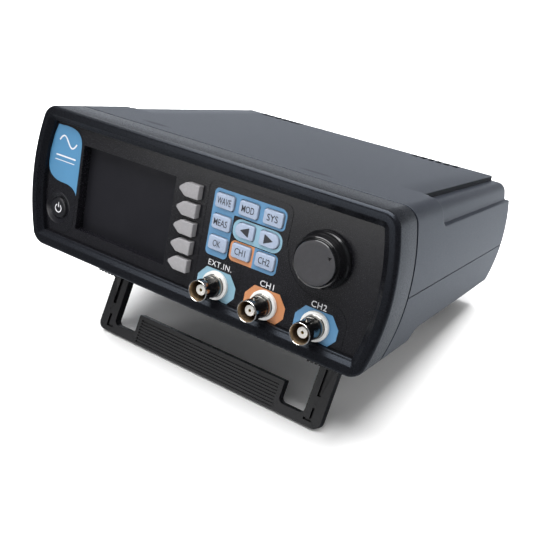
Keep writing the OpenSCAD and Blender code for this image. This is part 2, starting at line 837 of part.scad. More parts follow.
module usb_socket() {
    base = main_board_z + board_t;
    color("silver") in_stance() difference() {
        translate([-31, case_d - 18, base]) cube([12, 16.5, 11]);
        translate([-29.2, case_d - 12, base + 1.6]) cube([8.4, 12, 7.8]);
    }
}

module usb_tongue() {
    color("white") in_stance() translate([-27.8, case_d - 12, main_board_z + board_t + 3.6])
        cube([5.6, 8.5, 3.2]);
}

module sync_header() {
    base = main_board_z + board_t;
    color("#161618") in_stance() difference() {
        translate([-5, case_d - 12, base]) cube([20, 10.5, 5.2]);
        translate([-4, case_d - 8, base + 1]) cube([18, 8, 3.2]);
    }
}

// The power jack's centre pin and the header's row of pins
module connector_pins() {
    base = main_board_z + board_t;
    color("gold") in_stance() {
        bar_y(jack_x, base + 6, 1, case_d - 12, case_d - 3);
        for (i = [0 : 6]) translate([-2.94 + i * 2.54, case_d - 8, base + 2.2]) cube([0.64, 5, 0.64]);
    }
}

module case_screws() {
    color("#2b2b2b") in_stance() for (p = case_screw)
        translate([p[0], p[1], 4]) screw(case_screw_r, split_z + 14, 2.9, 2);
}

// ---------- feet and bail ----------

// What rounding takes off a lower rear edge, with the rounding's centre at the origin
module edge_waste_2d() {
    difference() {
        translate([0, -edge_r - 1]) square([edge_r + 1, edge_r + 1]);
        circle(edge_r);
    }
}

module sole_grooves(y0, y1) {
    for (i = [0 : 6])
        translate([foot_x[0] + 0.9 + i * 2.2, y0 - 1, -foot_h - 1]) cube([1, y1 - y0 + 2, 1.7]);
}

module foot_block(y0) {
    difference() {
        translate([foot_x[0], y0, -foot_h]) cube([foot_x[1] - foot_x[0], foot_len, foot_h]);
        sole_grooves(y0, y0 + foot_len);
        // Rounded rear edge that carries the case when the bail is open
        translate([0, y0 + foot_len - edge_r, edge_r - foot_h]) along_x(foot_x[0] - 1, foot_x[1] + 1)
            edge_waste_2d();
    }
}

// The foot's screw hole, counterbored from the sole
module foot_screw_hole(y) {
    translate([foot_mid, y, -foot_h - 1]) {
        cylinder(h = foot_h + 2, r = 1.7);
        cylinder(h = foot_h - 3, r = 3.1);
    }
}

module front_foot() {
    slot_w = bail_leg_w + 0.8;
    difference() {
        foot_block(front_foot_y);
        foot_screw_hole(front_foot_y + foot_screw_in);
        // Slot for the bail's leg; its sloping front wall is the stop of the open bail
        intersection() {
            translate([bail_half - bail_leg_w - 0.4, front_foot_y, -foot_h - 1])
                cube([slot_w, 2 * foot_len, foot_h - 1.2]);
            translate([0, pivot_y, pivot_z]) rotate([-bail_lean, 0, 0])
                translate([0, -bail_t / 2 - fit, -60]) cube([case_w, 80, 120]);
        }
        translate([bail_half - bail_leg_w - 0.4, pivot_y, pivot_z]) rotate([0, 90, 0])
            cylinder(h = slot_w, r = leg_boss_r + 0.3);
        translate([bail_half, pivot_y, pivot_z]) rotate([0, 90, 0]) cylinder(h = 10, r = pivot_r + fit);
    }
}

module front_foot_right() {
    color("#26272a") in_stance() front_foot();
}

module front_foot_left() {
    color("#26272a") in_stance() mirror([1, 0, 0]) front_foot();
}

module rear_feet() {
    color("#26272a") in_stance() for (side = [0, 1]) mirror([side, 0, 0]) difference() {
        foot_block(rear_foot_y);
        foot_screw_hole(rear_foot_y + rear_screw_in);
    }
}

module foot_screws() {
    color("#2b2b2b") in_stance()
        for (sx = [-1, 1], y = [front_foot_y + foot_screw_in, rear_foot_y + rear_screw_in])
            translate([sx * foot_mid, y, -4]) screw(foot_screw_r, 11, 2.8, 2);
}

// The bail in its own plane: pivot at z = 0, tip at z = -bail_len
module bail_2d() {
    inner = bail_half - bail_leg_w;
    pad_half = 46.5;
    pad_top = -bail_len + 15.7;
    bar_top = -bail_len + 5;
    outer_r = 4;
    notch_r = 2.6;
    difference() {
        union() {
            translate([-bail_half, -bail_len + outer_r]) square([2 * bail_half, bail_len - outer_r]);
            translate([-bail_half + outer_r, -bail_len]) square([2 * (bail_half - outer_r), outer_r + 1]);
            for (sx = [-1, 1]) translate([sx * (bail_half - outer_r), -bail_len + outer_r]) circle(outer_r);
        }
        translate([-inner, pad_top]) square([2 * inner, bail_len]);
        for (side = [0, 1]) mirror([side, 0]) {
            translate([pad_half, bar_top + notch_r]) square([inner - pad_half, 20]);
            translate([pad_half + notch_r, bar_top]) square([inner - pad_half - 2 * notch_r, 20]);
            for (x = [pad_half + notch_r, inner - notch_r]) translate([x, bar_top + notch_r]) circle(notch_r);
        }
    }
}

module bail() {
    front = -bail_t / 2;
    groove_pitch = 1.65;
    leg_mid = bail_half - bail_leg_w / 2 - 0.5;
    color("#3a3a3d") in_stance() translate([0, pivot_y, pivot_z]) rotate([-bail_lean, 0, 0]) {
        difference() {
            along_y(front, -front) bail_2d();
            // Rounded contact edge
            translate([0, tip_local[0], tip_local[1]]) along_x(-case_w, case_w) edge_waste_2d();
            // Grip grooves
            for (i = [0 : 7])
                translate([-44.2, front - 1, -bail_len + 1.3 + i * groove_pitch]) cube([88.4, 1.8, 0.85]);
            for (side = [0, 1]) mirror([side, 0, 0]) {
                // Long and angled weight-saving grooves in the legs
                translate([leg_mid - 0.9, front - 1, -27]) cube([1.9, 2.5, 19]);
                translate([leg_mid - 0.9, front - 1, -39]) cube([1.5, 2.5, 6]);
                translate([leg_mid - 4, front - 1, -40]) cube([4.6, 2.5, 1.2]);
                // Ejector marks
                for (p = [[leg_mid + 0.4, -30.3], [45.7, -39.6], [68, -40.2]])
                    translate([p[0], front + 0.15, p[1]]) rotate([90, 0, 0]) cylinder(h = 1, r = 1.15);
            }
            translate([-bail_half - 1, -bail_t, -leg_boss_r + 1.5]) cube([2 * bail_half + 2, 2 * bail_t, 20]);
        }
        for (side = [0, 1]) mirror([side, 0, 0]) {
            translate([bail_half - bail_leg_w, 0, 0]) rotate([0, 90, 0])
                cylinder(h = bail_leg_w, r = leg_boss_r);
            translate([bail_half - 1, 0, 0]) rotate([0, 90, 0]) cylinder(h = 3.4, r = pivot_r);
        }
    }
}

top_shell();
bottom_shell();
front_bezel();
front_panel();
rear_panel();
left_film();
keypad_film();
display_window();
lcd_frame();
lcd_glass();
display_board();
key_board();
board_screws();
softkey_1();
softkey_2();
softkey_3();
softkey_4();
softkey_5();
key_wave();
key_mod();
key_sys();
key_meas();
key_left();
key_right();
key_ok();
key_ch1();
key_ch2();
power_button();
power_switch();
tact_switches();
knob();
encoder_shaft();
encoder_body();
encoder_nut();
socket_ext_in();
socket_ch1();
socket_ch2();
socket_insulators();
socket_contacts();
socket_nuts();
socket_leads();
main_board();
main_board_screws();
main_chips();
heatsink();
buzzer();
ribbon_cables();
dc_jack();
usb_socket();
usb_tongue();
sync_header();
connector_pins();
case_screws();
front_foot_left();
front_foot_right();
rear_feet();
foot_screws();
bail();
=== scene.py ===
import bpy
import bmesh
import json
import math
from mathutils import Matrix, Vector


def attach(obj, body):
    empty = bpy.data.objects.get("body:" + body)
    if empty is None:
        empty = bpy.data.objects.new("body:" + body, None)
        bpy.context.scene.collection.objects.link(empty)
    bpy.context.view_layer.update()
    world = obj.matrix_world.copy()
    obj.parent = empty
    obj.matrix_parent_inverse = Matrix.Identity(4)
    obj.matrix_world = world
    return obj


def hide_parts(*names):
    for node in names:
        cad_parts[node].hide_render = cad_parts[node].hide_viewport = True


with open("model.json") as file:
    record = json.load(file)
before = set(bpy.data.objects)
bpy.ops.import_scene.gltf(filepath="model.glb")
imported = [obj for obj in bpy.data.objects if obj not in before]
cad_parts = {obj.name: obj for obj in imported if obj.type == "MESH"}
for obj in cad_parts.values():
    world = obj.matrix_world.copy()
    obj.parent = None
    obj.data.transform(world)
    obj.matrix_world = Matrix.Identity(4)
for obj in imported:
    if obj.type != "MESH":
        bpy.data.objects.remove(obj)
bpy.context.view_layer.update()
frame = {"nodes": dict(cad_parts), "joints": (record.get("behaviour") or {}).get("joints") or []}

# ---------- the level case frame: millimetres, x right, y back from the bezel's front edge, z up ----------

MM = 0.001
PIVOT = Vector((0, 46.5, -7.7))       # the bail's hinge in the level case frame
JOINTS = {j["name"]: j for j in frame["joints"]}
AXIS_Y = -Vector(JOINTS["knob_turn"]["axis"])
AXIS_X = Vector((1, 0, 0))
AXIS_Z = AXIS_X.cross(AXIS_Y)
ORIGIN = Vector(JOINTS["bail_hinge"]["pos_m"]) - (AXIS_Y * PIVOT.y + AXIS_Z * PIVOT.z) * MM
TURN = Matrix((AXIS_X, AXIS_Y, AXIS_Z)).transposed()
LEVEL = Matrix.Translation(ORIGIN) @ (TURN * MM).to_4x4()

CASE_W, CASE_H, CASE_D = 200, 71.4, 173
SIDE_R, CORNER_R = 110, 8
SIDE_CX = CASE_W / 2 - SIDE_R
CORNER_CX = SIDE_CX + math.sqrt((SIDE_R - CORNER_R) ** 2 - (CASE_H / 2 - CORNER_R) ** 2)
SIDE_ANGLE = math.atan2(CASE_H / 2 - CORNER_R, CORNER_CX - SIDE_CX)
SPLIT_Z = 34.4
BEZEL_D = 20
PANEL_Y, PANEL_BACK = 4, 7
PRINT_T = 0.06                        # thickness of a printed layer

# ---------- outlines ----------


def arc(cx, cz, r, a0, a1, n):
    """Points on an arc from angle a0 to a1 in radians, both ends included."""
    return [(cx + r * math.cos(a0 + (a1 - a0) * i / n), cz + r * math.sin(a0 + (a1 - a0) * i / n))
            for i in range(n + 1)]


def barrel(inset, low=None, n_corner=8, n_side=14):
    """The case's outline, inset from the outer surface, anticlockwise seen from the front."""
    rc = CORNER_R - inset
    rs = SIDE_R - inset
    a = SIDE_ANGLE
    right = arc(CORNER_CX, CORNER_R, rc, -math.pi / 2, -a, n_corner)[:-1]
    right += arc(SIDE_CX, CASE_H / 2, rs, -a, a, n_side)
    right += arc(CORNER_CX, CASE_H - CORNER_R, rc, a, math.pi / 2, n_corner)[1:]
    if low is not None:
        right = [(x, max(z, low)) for x, z in right]
    return right + [(-x, z) for x, z in reversed(right)]


def rounded(points, radii, inset=0.0, seg=6):
    """A polygon (anticlockwise) moved inwards by inset, with its corners rounded."""
    count = len(points)
    if not hasattr(radii, "__len__"):
        radii = [radii] * count
    edges = []
    for i in range(count):
        p, q = Vector(points[i]), Vector(points[(i + 1) % count])
        d = (q - p).normalized()
        inward = Vector((-d.y, d.x))
        edges.append((p + inward * inset, d))
    out = []
    for i in range(count):
        (p0, d0), (p1, d1) = edges[i - 1], edges[i]
        cross = d0.x * d1.y - d0.y * d1.x
        if abs(cross) < 1e-6:
            corner = p1.copy()
        else:
            t = ((p1 - p0).x * d1.y - (p1 - p0).y * d1.x) / cross
            corner = p0 + d0 * t
        turn = math.atan2(cross, d0.dot(d1))
        r = max(radii[i] - inset, 0.02) if turn > 0 else radii[i] + inset
        if radii[i] <= 0 or abs(turn) < 1e-4:
            out += [tuple(corner)] * (seg + 1)
            continue
        reach = r * math.tan(abs(turn) / 2)
        side = 1 if turn > 0 else -1
        start = corner - d0 * reach
        centre = start + Vector((-d0.y, d0.x)) * r * side
        a0 = math.atan2((start - centre).y, (start - centre).x)
        out += [(centre.x + r * math.cos(a0 + turn * k / seg), centre.y + r * math.sin(a0 + turn * k / seg))
                for k in range(seg + 1)]
    return out


def rectangle(cx, cz, w, h):
    return [(cx - w / 2, cz - h / 2), (cx + w / 2, cz - h / 2), (cx + w / 2, cz + h / 2), (cx - w / 2, cz + h / 2)]


# ---------- mesh tools ----------


def add_object(name, bm, materials, body, sharp=32):
    """Turns a bmesh in the level case frame into a piece that rides on a body."""
    bmesh.ops.recalc_face_normals(bm, faces=bm.faces)
    me = bpy.data.meshes.new(name)
    bm.to_mesh(me)
    bm.free()
    me.transform(LEVEL)
    for m in materials:
        me.materials.append(m)
    me.shade_smooth()
    me.set_sharp_from_angle(angle=math.radians(sharp))
    ob = bpy.data.objects.new(name, me)
    bpy.context.scene.collection.objects.link(ob)
    if body:
        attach(ob, body)
    return ob


def loft(bm, rings, cap_start=True, cap_end=True, close=False, mat=0):
    """Joins rings of equal count into a skin. A ring is a list of (x, y, z)."""
    rows = [[bm.verts.new(p) for p in ring] for ring in rings]
    pairs = list(zip(rows[:-1], rows[1:]))
    if close:
        pairs.append((rows[-1], rows[0]))
    n = len(rows[0])
    faces = []
    for a, b in pairs:
        for i in range(n):
            faces.append(bm.faces.new((a[i], a[(i + 1) % n], b[(i + 1) % n], b[i])))
    if cap_start and not close:
        faces.append(bm.faces.new(list(reversed(rows[0]))))
    if cap_end and not close:
        faces.append(bm.faces.new(rows[-1]))
    for f in faces:
        f.material_index = mat
    return rows, faces


def flat(ring, y):
    return [(x, y, z) for x, z in ring]


def edge_profile(r, steps=4):
    """(inset, distance from the face) pairs for a rounded front edge, from the side wall to the face."""
    return [(r - r * math.cos(math.pi / 2 * i / steps), r - r * math.sin(math.pi / 2 * i / steps))
            for i in range(steps + 1)]


def cap_block(bm, outline, front, back, r, steps=4):
    """A solid with a rounded front edge; outline(inset) gives its shape."""
    rings = [flat(outline(0), back)]
    rings += [flat(outline(inset), front + dist) for inset, dist in edge_profile(r, steps)]
    return loft(bm, rings)


def lathe(bm, x, z, profile, n=64, close=False, mat=0):
    """Turns (radius, y) pairs round an axis along y through (x, z)."""
    rings = [[(x + r * math.cos(2 * math.pi * i / n), y, z + r * math.sin(2 * math.pi * i / n))
              for i in range(n)] for r, y in profile]
    return loft(bm, rings, close=close, mat=mat)


def box_bm(bm, x0, x1, y0, y1, z0, z1):
    ring = [(x0, z0), (x1, z0), (x1, z1), (x0, z1)]
    loft(bm, [flat(ring, y0), flat(ring, y1)])


def cut(ob, cutters_bm):
    """Subtracts a closed bmesh in the level case frame from an object."""
    bmesh.ops.recalc_face_normals(cutters_bm, faces=cutters_bm.faces)
    me = bpy.data.meshes.new("cutter")
    cutters_bm.to_mesh(me)
    cutters_bm.free()
    me.transform(LEVEL)
    tool = bpy.data.objects.new("cutter", me)
    bpy.context.scene.collection.objects.link(tool)
    mod = ob.modifiers.new("cut", "BOOLEAN")
    mod.operation = "DIFFERENCE"
    mod.solver = "EXACT"
    mod.object = tool
    bpy.context.view_layer.update()
    deps = bpy.context.evaluated_depsgraph_get()
    done = bpy.data.meshes.new_from_object(ob.evaluated_get(deps))
    ob.modifiers.remove(mod)
    ob.data = done
    bpy.data.objects.remove(tool)
    ob.data.shade_smooth()
    ob.data.set_sharp_from_angle(angle=math.radians(32))


# ---------- materials ----------


class Nodes:
    """A short way to write a node tree."""

    def __init__(self, name):
        self.mat = bpy.data.materials.new(name)
        self.mat.use_nodes = True
        self.tree = self.mat.node_tree
        self.bsdf = self.tree.nodes["Principled BSDF"]
        self.coord = self.add("ShaderNodeTexCoord").outputs["Object"]

    def add(self, kind, **values):
        node = self.tree.nodes.new(kind)
        for key, value in values.items():
            if hasattr(node, key):
                setattr(node, key, value)
            else:
                node.inputs[key.replace("_", " ")].default_value = value
        return node

    def link(self, a, b):
        self.tree.links.new(a, b)

    def noise(self, scale, detail=3.0, rough=0.5, stretch=None):
        node = self.add("ShaderNodeTexNoise", Scale=scale, Detail=detail, Roughness=rough)
        if stretch:
            mapping = self.add("ShaderNodeMapping")
            mapping.inputs["Scale"].default_value = stretch
            self.link(self.coord, mapping.inputs["Vector"])
            self.link(mapping.outputs[0], node.inputs["Vector"])
        else:
            self.link(self.coord, node.inputs["Vector"])
        return node.outputs["Fac"]

    def range(self, value, low, high, from_low=0.3, from_high=0.7):
        node = self.add("ShaderNodeMapRange")
        self.link(value, node.inputs["Value"])
        node.inputs["From Min"].default_value = from_low
        node.inputs["From Max"].default_value = from_high
        node.inputs["To Min"].default_value = low
        node.inputs["To Max"].default_value = high
        return node.outputs["Result"]

    def math(self, op, a, b):
        node = self.add("ShaderNodeMath", operation=op)
        for i, v in enumerate((a, b)):
            if isinstance(v, (int, float)):
                node.inputs[i].default_value = v
            else:
                self.link(v, node.inputs[i])
        return node.outputs[0]

    def mix(self, factor, a, b):
        node = self.add("ShaderNodeMix", data_type="RGBA")
        for socket, v in ((node.inputs["Factor"], factor), (node.inputs[6], a), (node.inputs[7], b)):
            if hasattr(v, "links"):
                self.link(v, socket)
            elif isinstance(v, (int, float)):
                socket.default_value = v
            else:
                socket.default_value = (*v, 1)
        return node.outputs[2]

    def edge_mask(self, radius, low=0.02, high=0.2):
        """1 on convex and concave edges, 0 on flats."""
        bevel = self.add("ShaderNodeBevel", samples=4)
        bevel.inputs["Radius"].default_value = radius
        geo = self.add("ShaderNodeNewGeometry")
        dot = self.add("ShaderNodeVectorMath", operation="DOT_PRODUCT")
        self.link(bevel.outputs[0], dot.inputs[0])
        self.link(geo.outputs["Normal"], dot.inputs[1])
        gap = self.math("SUBTRACT", 1.0, dot.outputs["Value"])
        return self.range(gap, 0, 1, low, high)

    def bump(self, height, strength, distance):
        node = self.add("ShaderNodeBump", Strength=strength, Distance=distance)
        self.link(height, node.inputs["Height"])
        self.link(node.outputs[0], self.bsdf.inputs["Normal"])


def shade(colour, k):
    return tuple(min(1.0, c * k) for c in colour)


def moulded(name, colour, rough=0.5, grain=2600, strength=0.35, vary=0.08, wear=0.35, spec=0.5, metal=0.0,
            depth=0.00006, tint=(1, 1, 1), dull=None):
    """Moulded plastic, paint or rubber: mottled colour, moulding grain and lighter worn edges."""
    n = Nodes(name)
    broad = n.noise(22, 3)
    fine = n.noise(grain, 3)
    speck = n.noise(grain * 0.35, 2)
    base = n.mix(n.range(broad, 0, 1), shade(colour, 1 - vary), shade(colour, 1 + vary))
    base = n.mix(n.range(speck, 0, 0.35, 0.45, 0.75), base, shade(colour, 1.35))
    if wear:
        edge = n.edge_mask(0.0005)
        patch = n.range(n.noise(300, 3), 0, 1, 0.4, 0.65)
        lighter = tuple(c * 1.4 + 0.02 for c in colour)
        base = n.mix(n.math("MULTIPLY", n.math("MULTIPLY", edge, patch), wear), base, lighter)
    n.link(base, n.bsdf.inputs["Base Color"])
    n.link(n.range(fine, rough - 0.04, rough + 0.05), n.bsdf.inputs["Roughness"])
    n.bsdf.inputs["Specular IOR Level"].default_value = spec
    if dull:
        n.link(n.range(dull(n), spec, 0.25 * spec, 0, 1), n.bsdf.inputs["Specular IOR Level"])
    n.bsdf.inputs["Specular Tint"].default_value = (*tint, 1)
    n.bsdf.inputs["Metallic"].default_value = metal
    n.bump(fine, strength, depth)
    return n.mat


def sink_marks(n):
    """Faint dull streaks on the top, where ribs inside have drawn the surface in."""
    total = None
    for x, y, half_x, half_y in ((-50, 30.5, 11, 3.2), (42, 30, 11, 2.6)):
        centre = LEVEL @ Vector((x, y, CASE_H))
        mapping = n.add("ShaderNodeMapping")
        mapping.inputs["Scale"].default_value = (1 / (half_x * MM), 1 / (half_y * MM), 1 / (half_y * MM))
        mapping.inputs["Location"].default_value = [-c * k for c, k in zip(
            centre, mapping.inputs["Scale"].default_value)]
        n.link(n.coord, mapping.inputs["Vector"])
        length = n.add("ShaderNodeVectorMath", operation="LENGTH")
        n.link(mapping.outputs[0], length.inputs[0])
        mask = n.range(length.outputs["Value"], 1, 0, 0.45, 1.0)
        total = mask if total is None else n.math("MAXIMUM", total, mask)
    return total


def metal(name, colour, rough=0.2, stretch=(1, 1, 1), scale=900, strength=0.08, tarnish=0.15):
    """Plated or machined metal with fine tool marks and slight tarnish."""
    n = Nodes(name)
    marks = n.noise(scale, 3, 0.6, stretch)
    broad = n.noise(140, 4)
    base = n.mix(n.range(broad, 0, 1, 0.35, 0.7), colour, shade(colour, 1 - tarnish))
    base = n.mix(n.math("MULTIPLY", n.edge_mask(0.0003), 0.4), base, shade(colour, 1.25))
    n.link(base, n.bsdf.inputs["Base Color"])
    n.bsdf.inputs["Metallic"].default_value = 1.0
    n.link(n.range(marks, rough * 0.7, rough * 1.4), n.bsdf.inputs["Roughness"])
    n.bump(marks, strength, 0.00002)
    return n.mat


def printed(name, colour, rough=0.42):
    """Screen-printed ink: nearly flat colour with a faint mesh texture."""
    n = Nodes(name)
    broad = n.noise(60, 3)
    fine = n.noise(4200, 2)
    base = n.mix(n.range(broad, 0, 1), shade(colour, 0.95), shade(colour, 1.05))
    base = n.mix(n.range(fine, 0, 0.25, 0.4, 0.75), base, shade(colour, 1.12))
    n.link(base, n.bsdf.inputs["Base Color"])
    n.link(n.range(fine, rough - 0.06, rough + 0.08), n.bsdf.inputs["Roughness"])
    n.bump(fine, 0.15, 0.00002)
    return n.mat


def board_material():
    """Solder mask with tracks that show as a lighter, slightly raised grid."""
    n = Nodes("board")
    tracks = n.add("ShaderNodeTexBrick", Scale=260.0, Mortar_Size=0.05, offset=0.35)
    n.link(n.coord, tracks.inputs["Vector"])
    mask = n.range(tracks.outputs["Fac"], 0, 1, 0, 1)
    broad = n.noise(60, 3)
    base = n.mix(n.range(broad, 0, 1), (0.012, 0.09, 0.04), (0.02, 0.13, 0.06))
    base = n.mix(mask, base, (0.04, 0.2, 0.09))
    n.link(base, n.bsdf.inputs["Base Color"])
    n.link(n.range(broad, 0.25, 0.4), n.bsdf.inputs["Roughness"])
    n.bump(mask, 0.3, 0.00004)
    return n.mat


def smoked_glass():
    n = Nodes("smoked_window")
    broad = n.noise(30, 3)
    base = n.mix(n.range(broad, 0, 1), (0.009, 0.009, 0.011), (0.011, 0.011, 0.0135))
    n.link(base, n.bsdf.inputs["Base Color"])
    n.link(n.range(n.noise(500, 3), 0.16, 0.24), n.bsdf.inputs["Roughness"])
    n.bsdf.inputs["Specular IOR Level"].default_value = 0.2
    n.bump(n.noise(90, 2), 0.03, 0.0001)
    return n.mat


COOL = (0.74, 0.84, 1.0)
SHELL = moulded("shell_plastic", (0.009, 0.0100, 0.0135), rough=0.4, grain=2400, strength=0.45, spec=0.42, tint=COOL,
                dull=sink_marks)
# A darker, duller copy of the shell plastic: painted shade for the step beside the plateau
SHELL_STEP_SHADE = moulded("shell_step_painted_shade", (0.005, 0.0055, 0.007), rough=0.6, grain=2400, strength=0.45, spec=0.08)
BEZEL = moulded("bezel_plastic", (0.004, 0.0041, 0.0052), rough=0.28, grain=2800, strength=0.2, spec=0.2, tint=COOL)
PANEL = moulded("panel_plastic", (0.0055, 0.0054, 0.007), rough=0.24, grain=2800, strength=0.12, spec=0.42)
FILM = moulded("film", (0.0055, 0.0055, 0.0072), rough=0.24, grain=3600, strength=0.1, vary=0.05, spec=0.4)
SOFTKEY = moulded("softkey_rubber", (0.17, 0.166, 0.172), rough=0.65, grain=3000, strength=0.3, vary=0.05, wear=0.2)
KEYCAP = moulded("keycap", (0.2, 0.24, 0.315), rough=0.5, grain=3000, strength=0.2, vary=0.05, wear=0.2)
POWER = moulded("power_plastic", (0.007, 0.0072, 0.0088), rough=0.3, grain=3000, strength=0.2, spec=0.4)
SWITCH = moulded("switch_plastic", (0.02, 0.02, 0.022), rough=0.5)
KNOB_FACE = moulded("knob_face", (0.026, 0.0255, 0.0285), rough=0.6, grain=1500, strength=0.35, vary=0.1, spec=0.4)
KNOB_SIDE = moulded("knob_side", (0.0035, 0.0035, 0.004), rough=0.16, grain=2600, strength=0.05, wear=0.15, spec=0.5)
FOOT = moulded("foot_plastic", (0.006, 0.0062, 0.0075), rough=0.5, grain=2200, strength=0.5)
BAIL = moulded("bail_plastic", (0.0042, 0.0043, 0.0056), rough=0.34, grain=2200, strength=0.25, spec=0.22)
BLACK = moulded("connector_plastic", (0.008, 0.008, 0.009), rough=0.35, grain=3000, strength=0.2)
SLEEVE = moulded("lead_sleeve", (0.012, 0.012, 0.012), rough=0.4)
RIBBON = moulded("ribbon", (0.3, 0.31, 0.33), rough=0.5, grain=900, strength=0.6)
INSULATOR = moulded("insulator", (0.48, 0.475, 0.455), rough=0.4, grain=3600, strength=0.15, vary=0.04, wear=0.1)
SCREW_BLACK = moulded("screw_black", (0.02, 0.02, 0.021), rough=0.35, metal=0.7)
NICKEL = metal("nickel", (0.30, 0.29, 0.27), rough=0.09)
# A much brighter copy of the socket metal for the barrel's front rim: painted highlight
RIM_HIGHLIGHT_METAL = metal("rim_metal_painted_highlight", (0.85, 0.83, 0.80), rough=0.2)
FLANGE = moulded("flange", (0.6, 0.6, 0.59), rough=0.35, grain=3000, strength=0.1, vary=0.04, metal=0.3)
BORE = metal("bore", (0.36, 0.265, 0.17), rough=0.4)
STEEL = metal("steel", (0.6, 0.6, 0.61), rough=0.3)
GOLD = metal("gold", (0.85, 0.6, 0.22), rough=0.18)
ALUMINIUM = metal("aluminium", (0.55, 0.56, 0.58), rough=0.35, stretch=(1, 12, 1))
BOARD = board_material()
WINDOW = smoked_glass()
LCD = moulded("lcd_glass", (0.01, 0.012, 0.014), rough=0.15, grain=3000, strength=0.05)
BLUE = printed("ink_blue", (0.039, 0.143, 0.26))
MID_BLUE = printed("ink_mid_blue", (0.055, 0.155, 0.275))
LIGHT_BLUE = printed("ink_light_blue", (0.14, 0.255, 0.325))
ORANGE = printed("ink_orange", (0.36, 0.145, 0.055))
WHITE = printed("ink_white", (0.47, 0.47, 0.49))
LEGEND = printed("ink_legend", (0.012, 0.013, 0.018))

NODE_LOOKS = {
    "front_panel": PANEL, "rear_panel": PANEL, "left_film": FILM, "keypad_film": FILM,
    "display_window": WINDOW, "lcd_frame": STEEL, "lcd_glass": LCD, "display_board": BOARD,
    "key_board": BOARD, "main_board": BOARD, "board_screws": STEEL, "main_board_screws": STEEL,
    "case_screws": SCREW_BLACK, "foot_screws": SCREW_BLACK, "power_switch": SWITCH, "tact_switches": SWITCH,
    "encoder_shaft": STEEL, "encoder_body": STEEL, "encoder_nut": STEEL, "socket_nuts": FLANGE,
    "socket_insulators": INSULATOR, "socket_contacts": GOLD, "socket_leads": SLEEVE, "main_chips": SWITCH,
    "heatsink": ALUMINIUM, "buzzer": SWITCH, "ribbon_cables": RIBBON, "dc_jack": BLACK, "usb_socket": STEEL,
    "sync_header": BLACK, "front_foot_left": FOOT, "front_foot_right": FOOT, "rear_feet": FOOT, "bail": BAIL,
    "top_shell": SHELL, "bottom_shell": SHELL, "front_bezel": BEZEL, "power_button": POWER, "knob": KNOB_SIDE,
    "socket_ext_in": NICKEL, "socket_ch1": NICKEL, "socket_ch2": NICKEL,
    "connector_pins": GOLD, "usb_tongue": INSULATOR,
}
BEVELS = {
    "front_panel": 0.12, "rear_panel": 0.2, "front_foot_left": 0.45, "front_foot_right": 0.45, "rear_feet": 0.45,
    "bail": 0.4, "dc_jack": 0.3, "usb_socket": 0.3, "sync_header": 0.2, "heatsink": 0.2, "main_chips": 0.2,
    "lcd_frame": 0.3, "buzzer": 0.3, "case_screws": 0.15, "foot_screws": 0.15,
}


def dress_cad_nodes():
    for name, node in frame["nodes"].items():
        look = NODE_LOOKS.get(name)
        if look is None:
            look = SOFTKEY if name.startswith("softkey") else KEYCAP
        if not node.material_slots:
            node.data.materials.append(look)
        for slot in node.material_slots:
            slot.material = look
        if name in BEVELS:
            weld = node.modifiers.new("weld", "WELD")
            weld.merge_threshold = 1e-6
            bevel = node.modifiers.new("soft_edges", "BEVEL")
            bevel.width = BEVELS[name] * MM
            bevel.segments = 2
            bevel.limit_method = "ANGLE"
            bevel.angle_limit = math.radians(35)
            bevel.harden_normals = True


# ---------- case ----------


# Steps of the bezel's edge: distances in from the outer surface, and depths
RIM_R = 2.0
FLAT_IN, SLOPE_IN, LIP_IN = 4.3, 6.0, 6.95
SLOPE_Y, LIP_Y = 1.6, 2.0
LOW_SHIFT = 0.8                       # how much farther in the inner steps lie along the bottom
SEAM_DEPTH, SEAM_HALF = 1.3, 0.36     # the groove between the bezel and the shells


def build_bezel():
    profile = [(SEAM_DEPTH, BEZEL_D), (SEAM_DEPTH, BEZEL_D - SEAM_HALF), (0.35, BEZEL_D - SEAM_HALF - 0.03),
               (0, BEZEL_D - SEAM_HALF - 0.8), (0, 12), (0, RIM_R)]
    profile += [(RIM_R - RIM_R * math.cos(a), RIM_R - RIM_R * math.sin(a))
                for a in [math.pi / 2 * i / 8 for i in range(1, 9)]]
    outer_count = len(profile)
    profile += [(FLAT_IN - 0.12, 0), (FLAT_IN + 0.08, 0.1), (SLOPE_IN - 0.1, SLOPE_Y - 0.08),
                (SLOPE_IN + 0.12, SLOPE_Y + 0.04), (LIP_IN - 0.15, LIP_Y - 0.05), (LIP_IN - 0.02, LIP_Y + 0.08),
                (LIP_IN, LIP_Y + 0.3), (LIP_IN + 0.03, 4.2), (LIP_IN + 0.15, 4.6), (LIP_IN + 0.15, 6.1)]
    shifted = range(outer_count, len(profile))
    profile += [(4.5, 6.1), (4.5, BEZEL_D + 6), (2.3, BEZEL_D + 6), (2.3, BEZEL_D)]
    bm = bmesh.new()
    rings = []
    for i, (inset, y) in enumerate(profile):
        low = inset + LOW_SHIFT if i in shifted else None
        rings.append(flat(barrel(inset, low, 10, 24), y))
    loft(bm, rings, close=True)
    ob = add_object("bezel_ring", bm, [BEZEL], "case", 24)
    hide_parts("front_bezel")


def smooth(t):
    t = max(0.0, min(1.0, t))
    return t * t * (3 - 2 * t)


RECESS_Y, RECESS_IN, PLATEAU, RECESS_SIDE = 53, 2.6, 83.3, 11.1


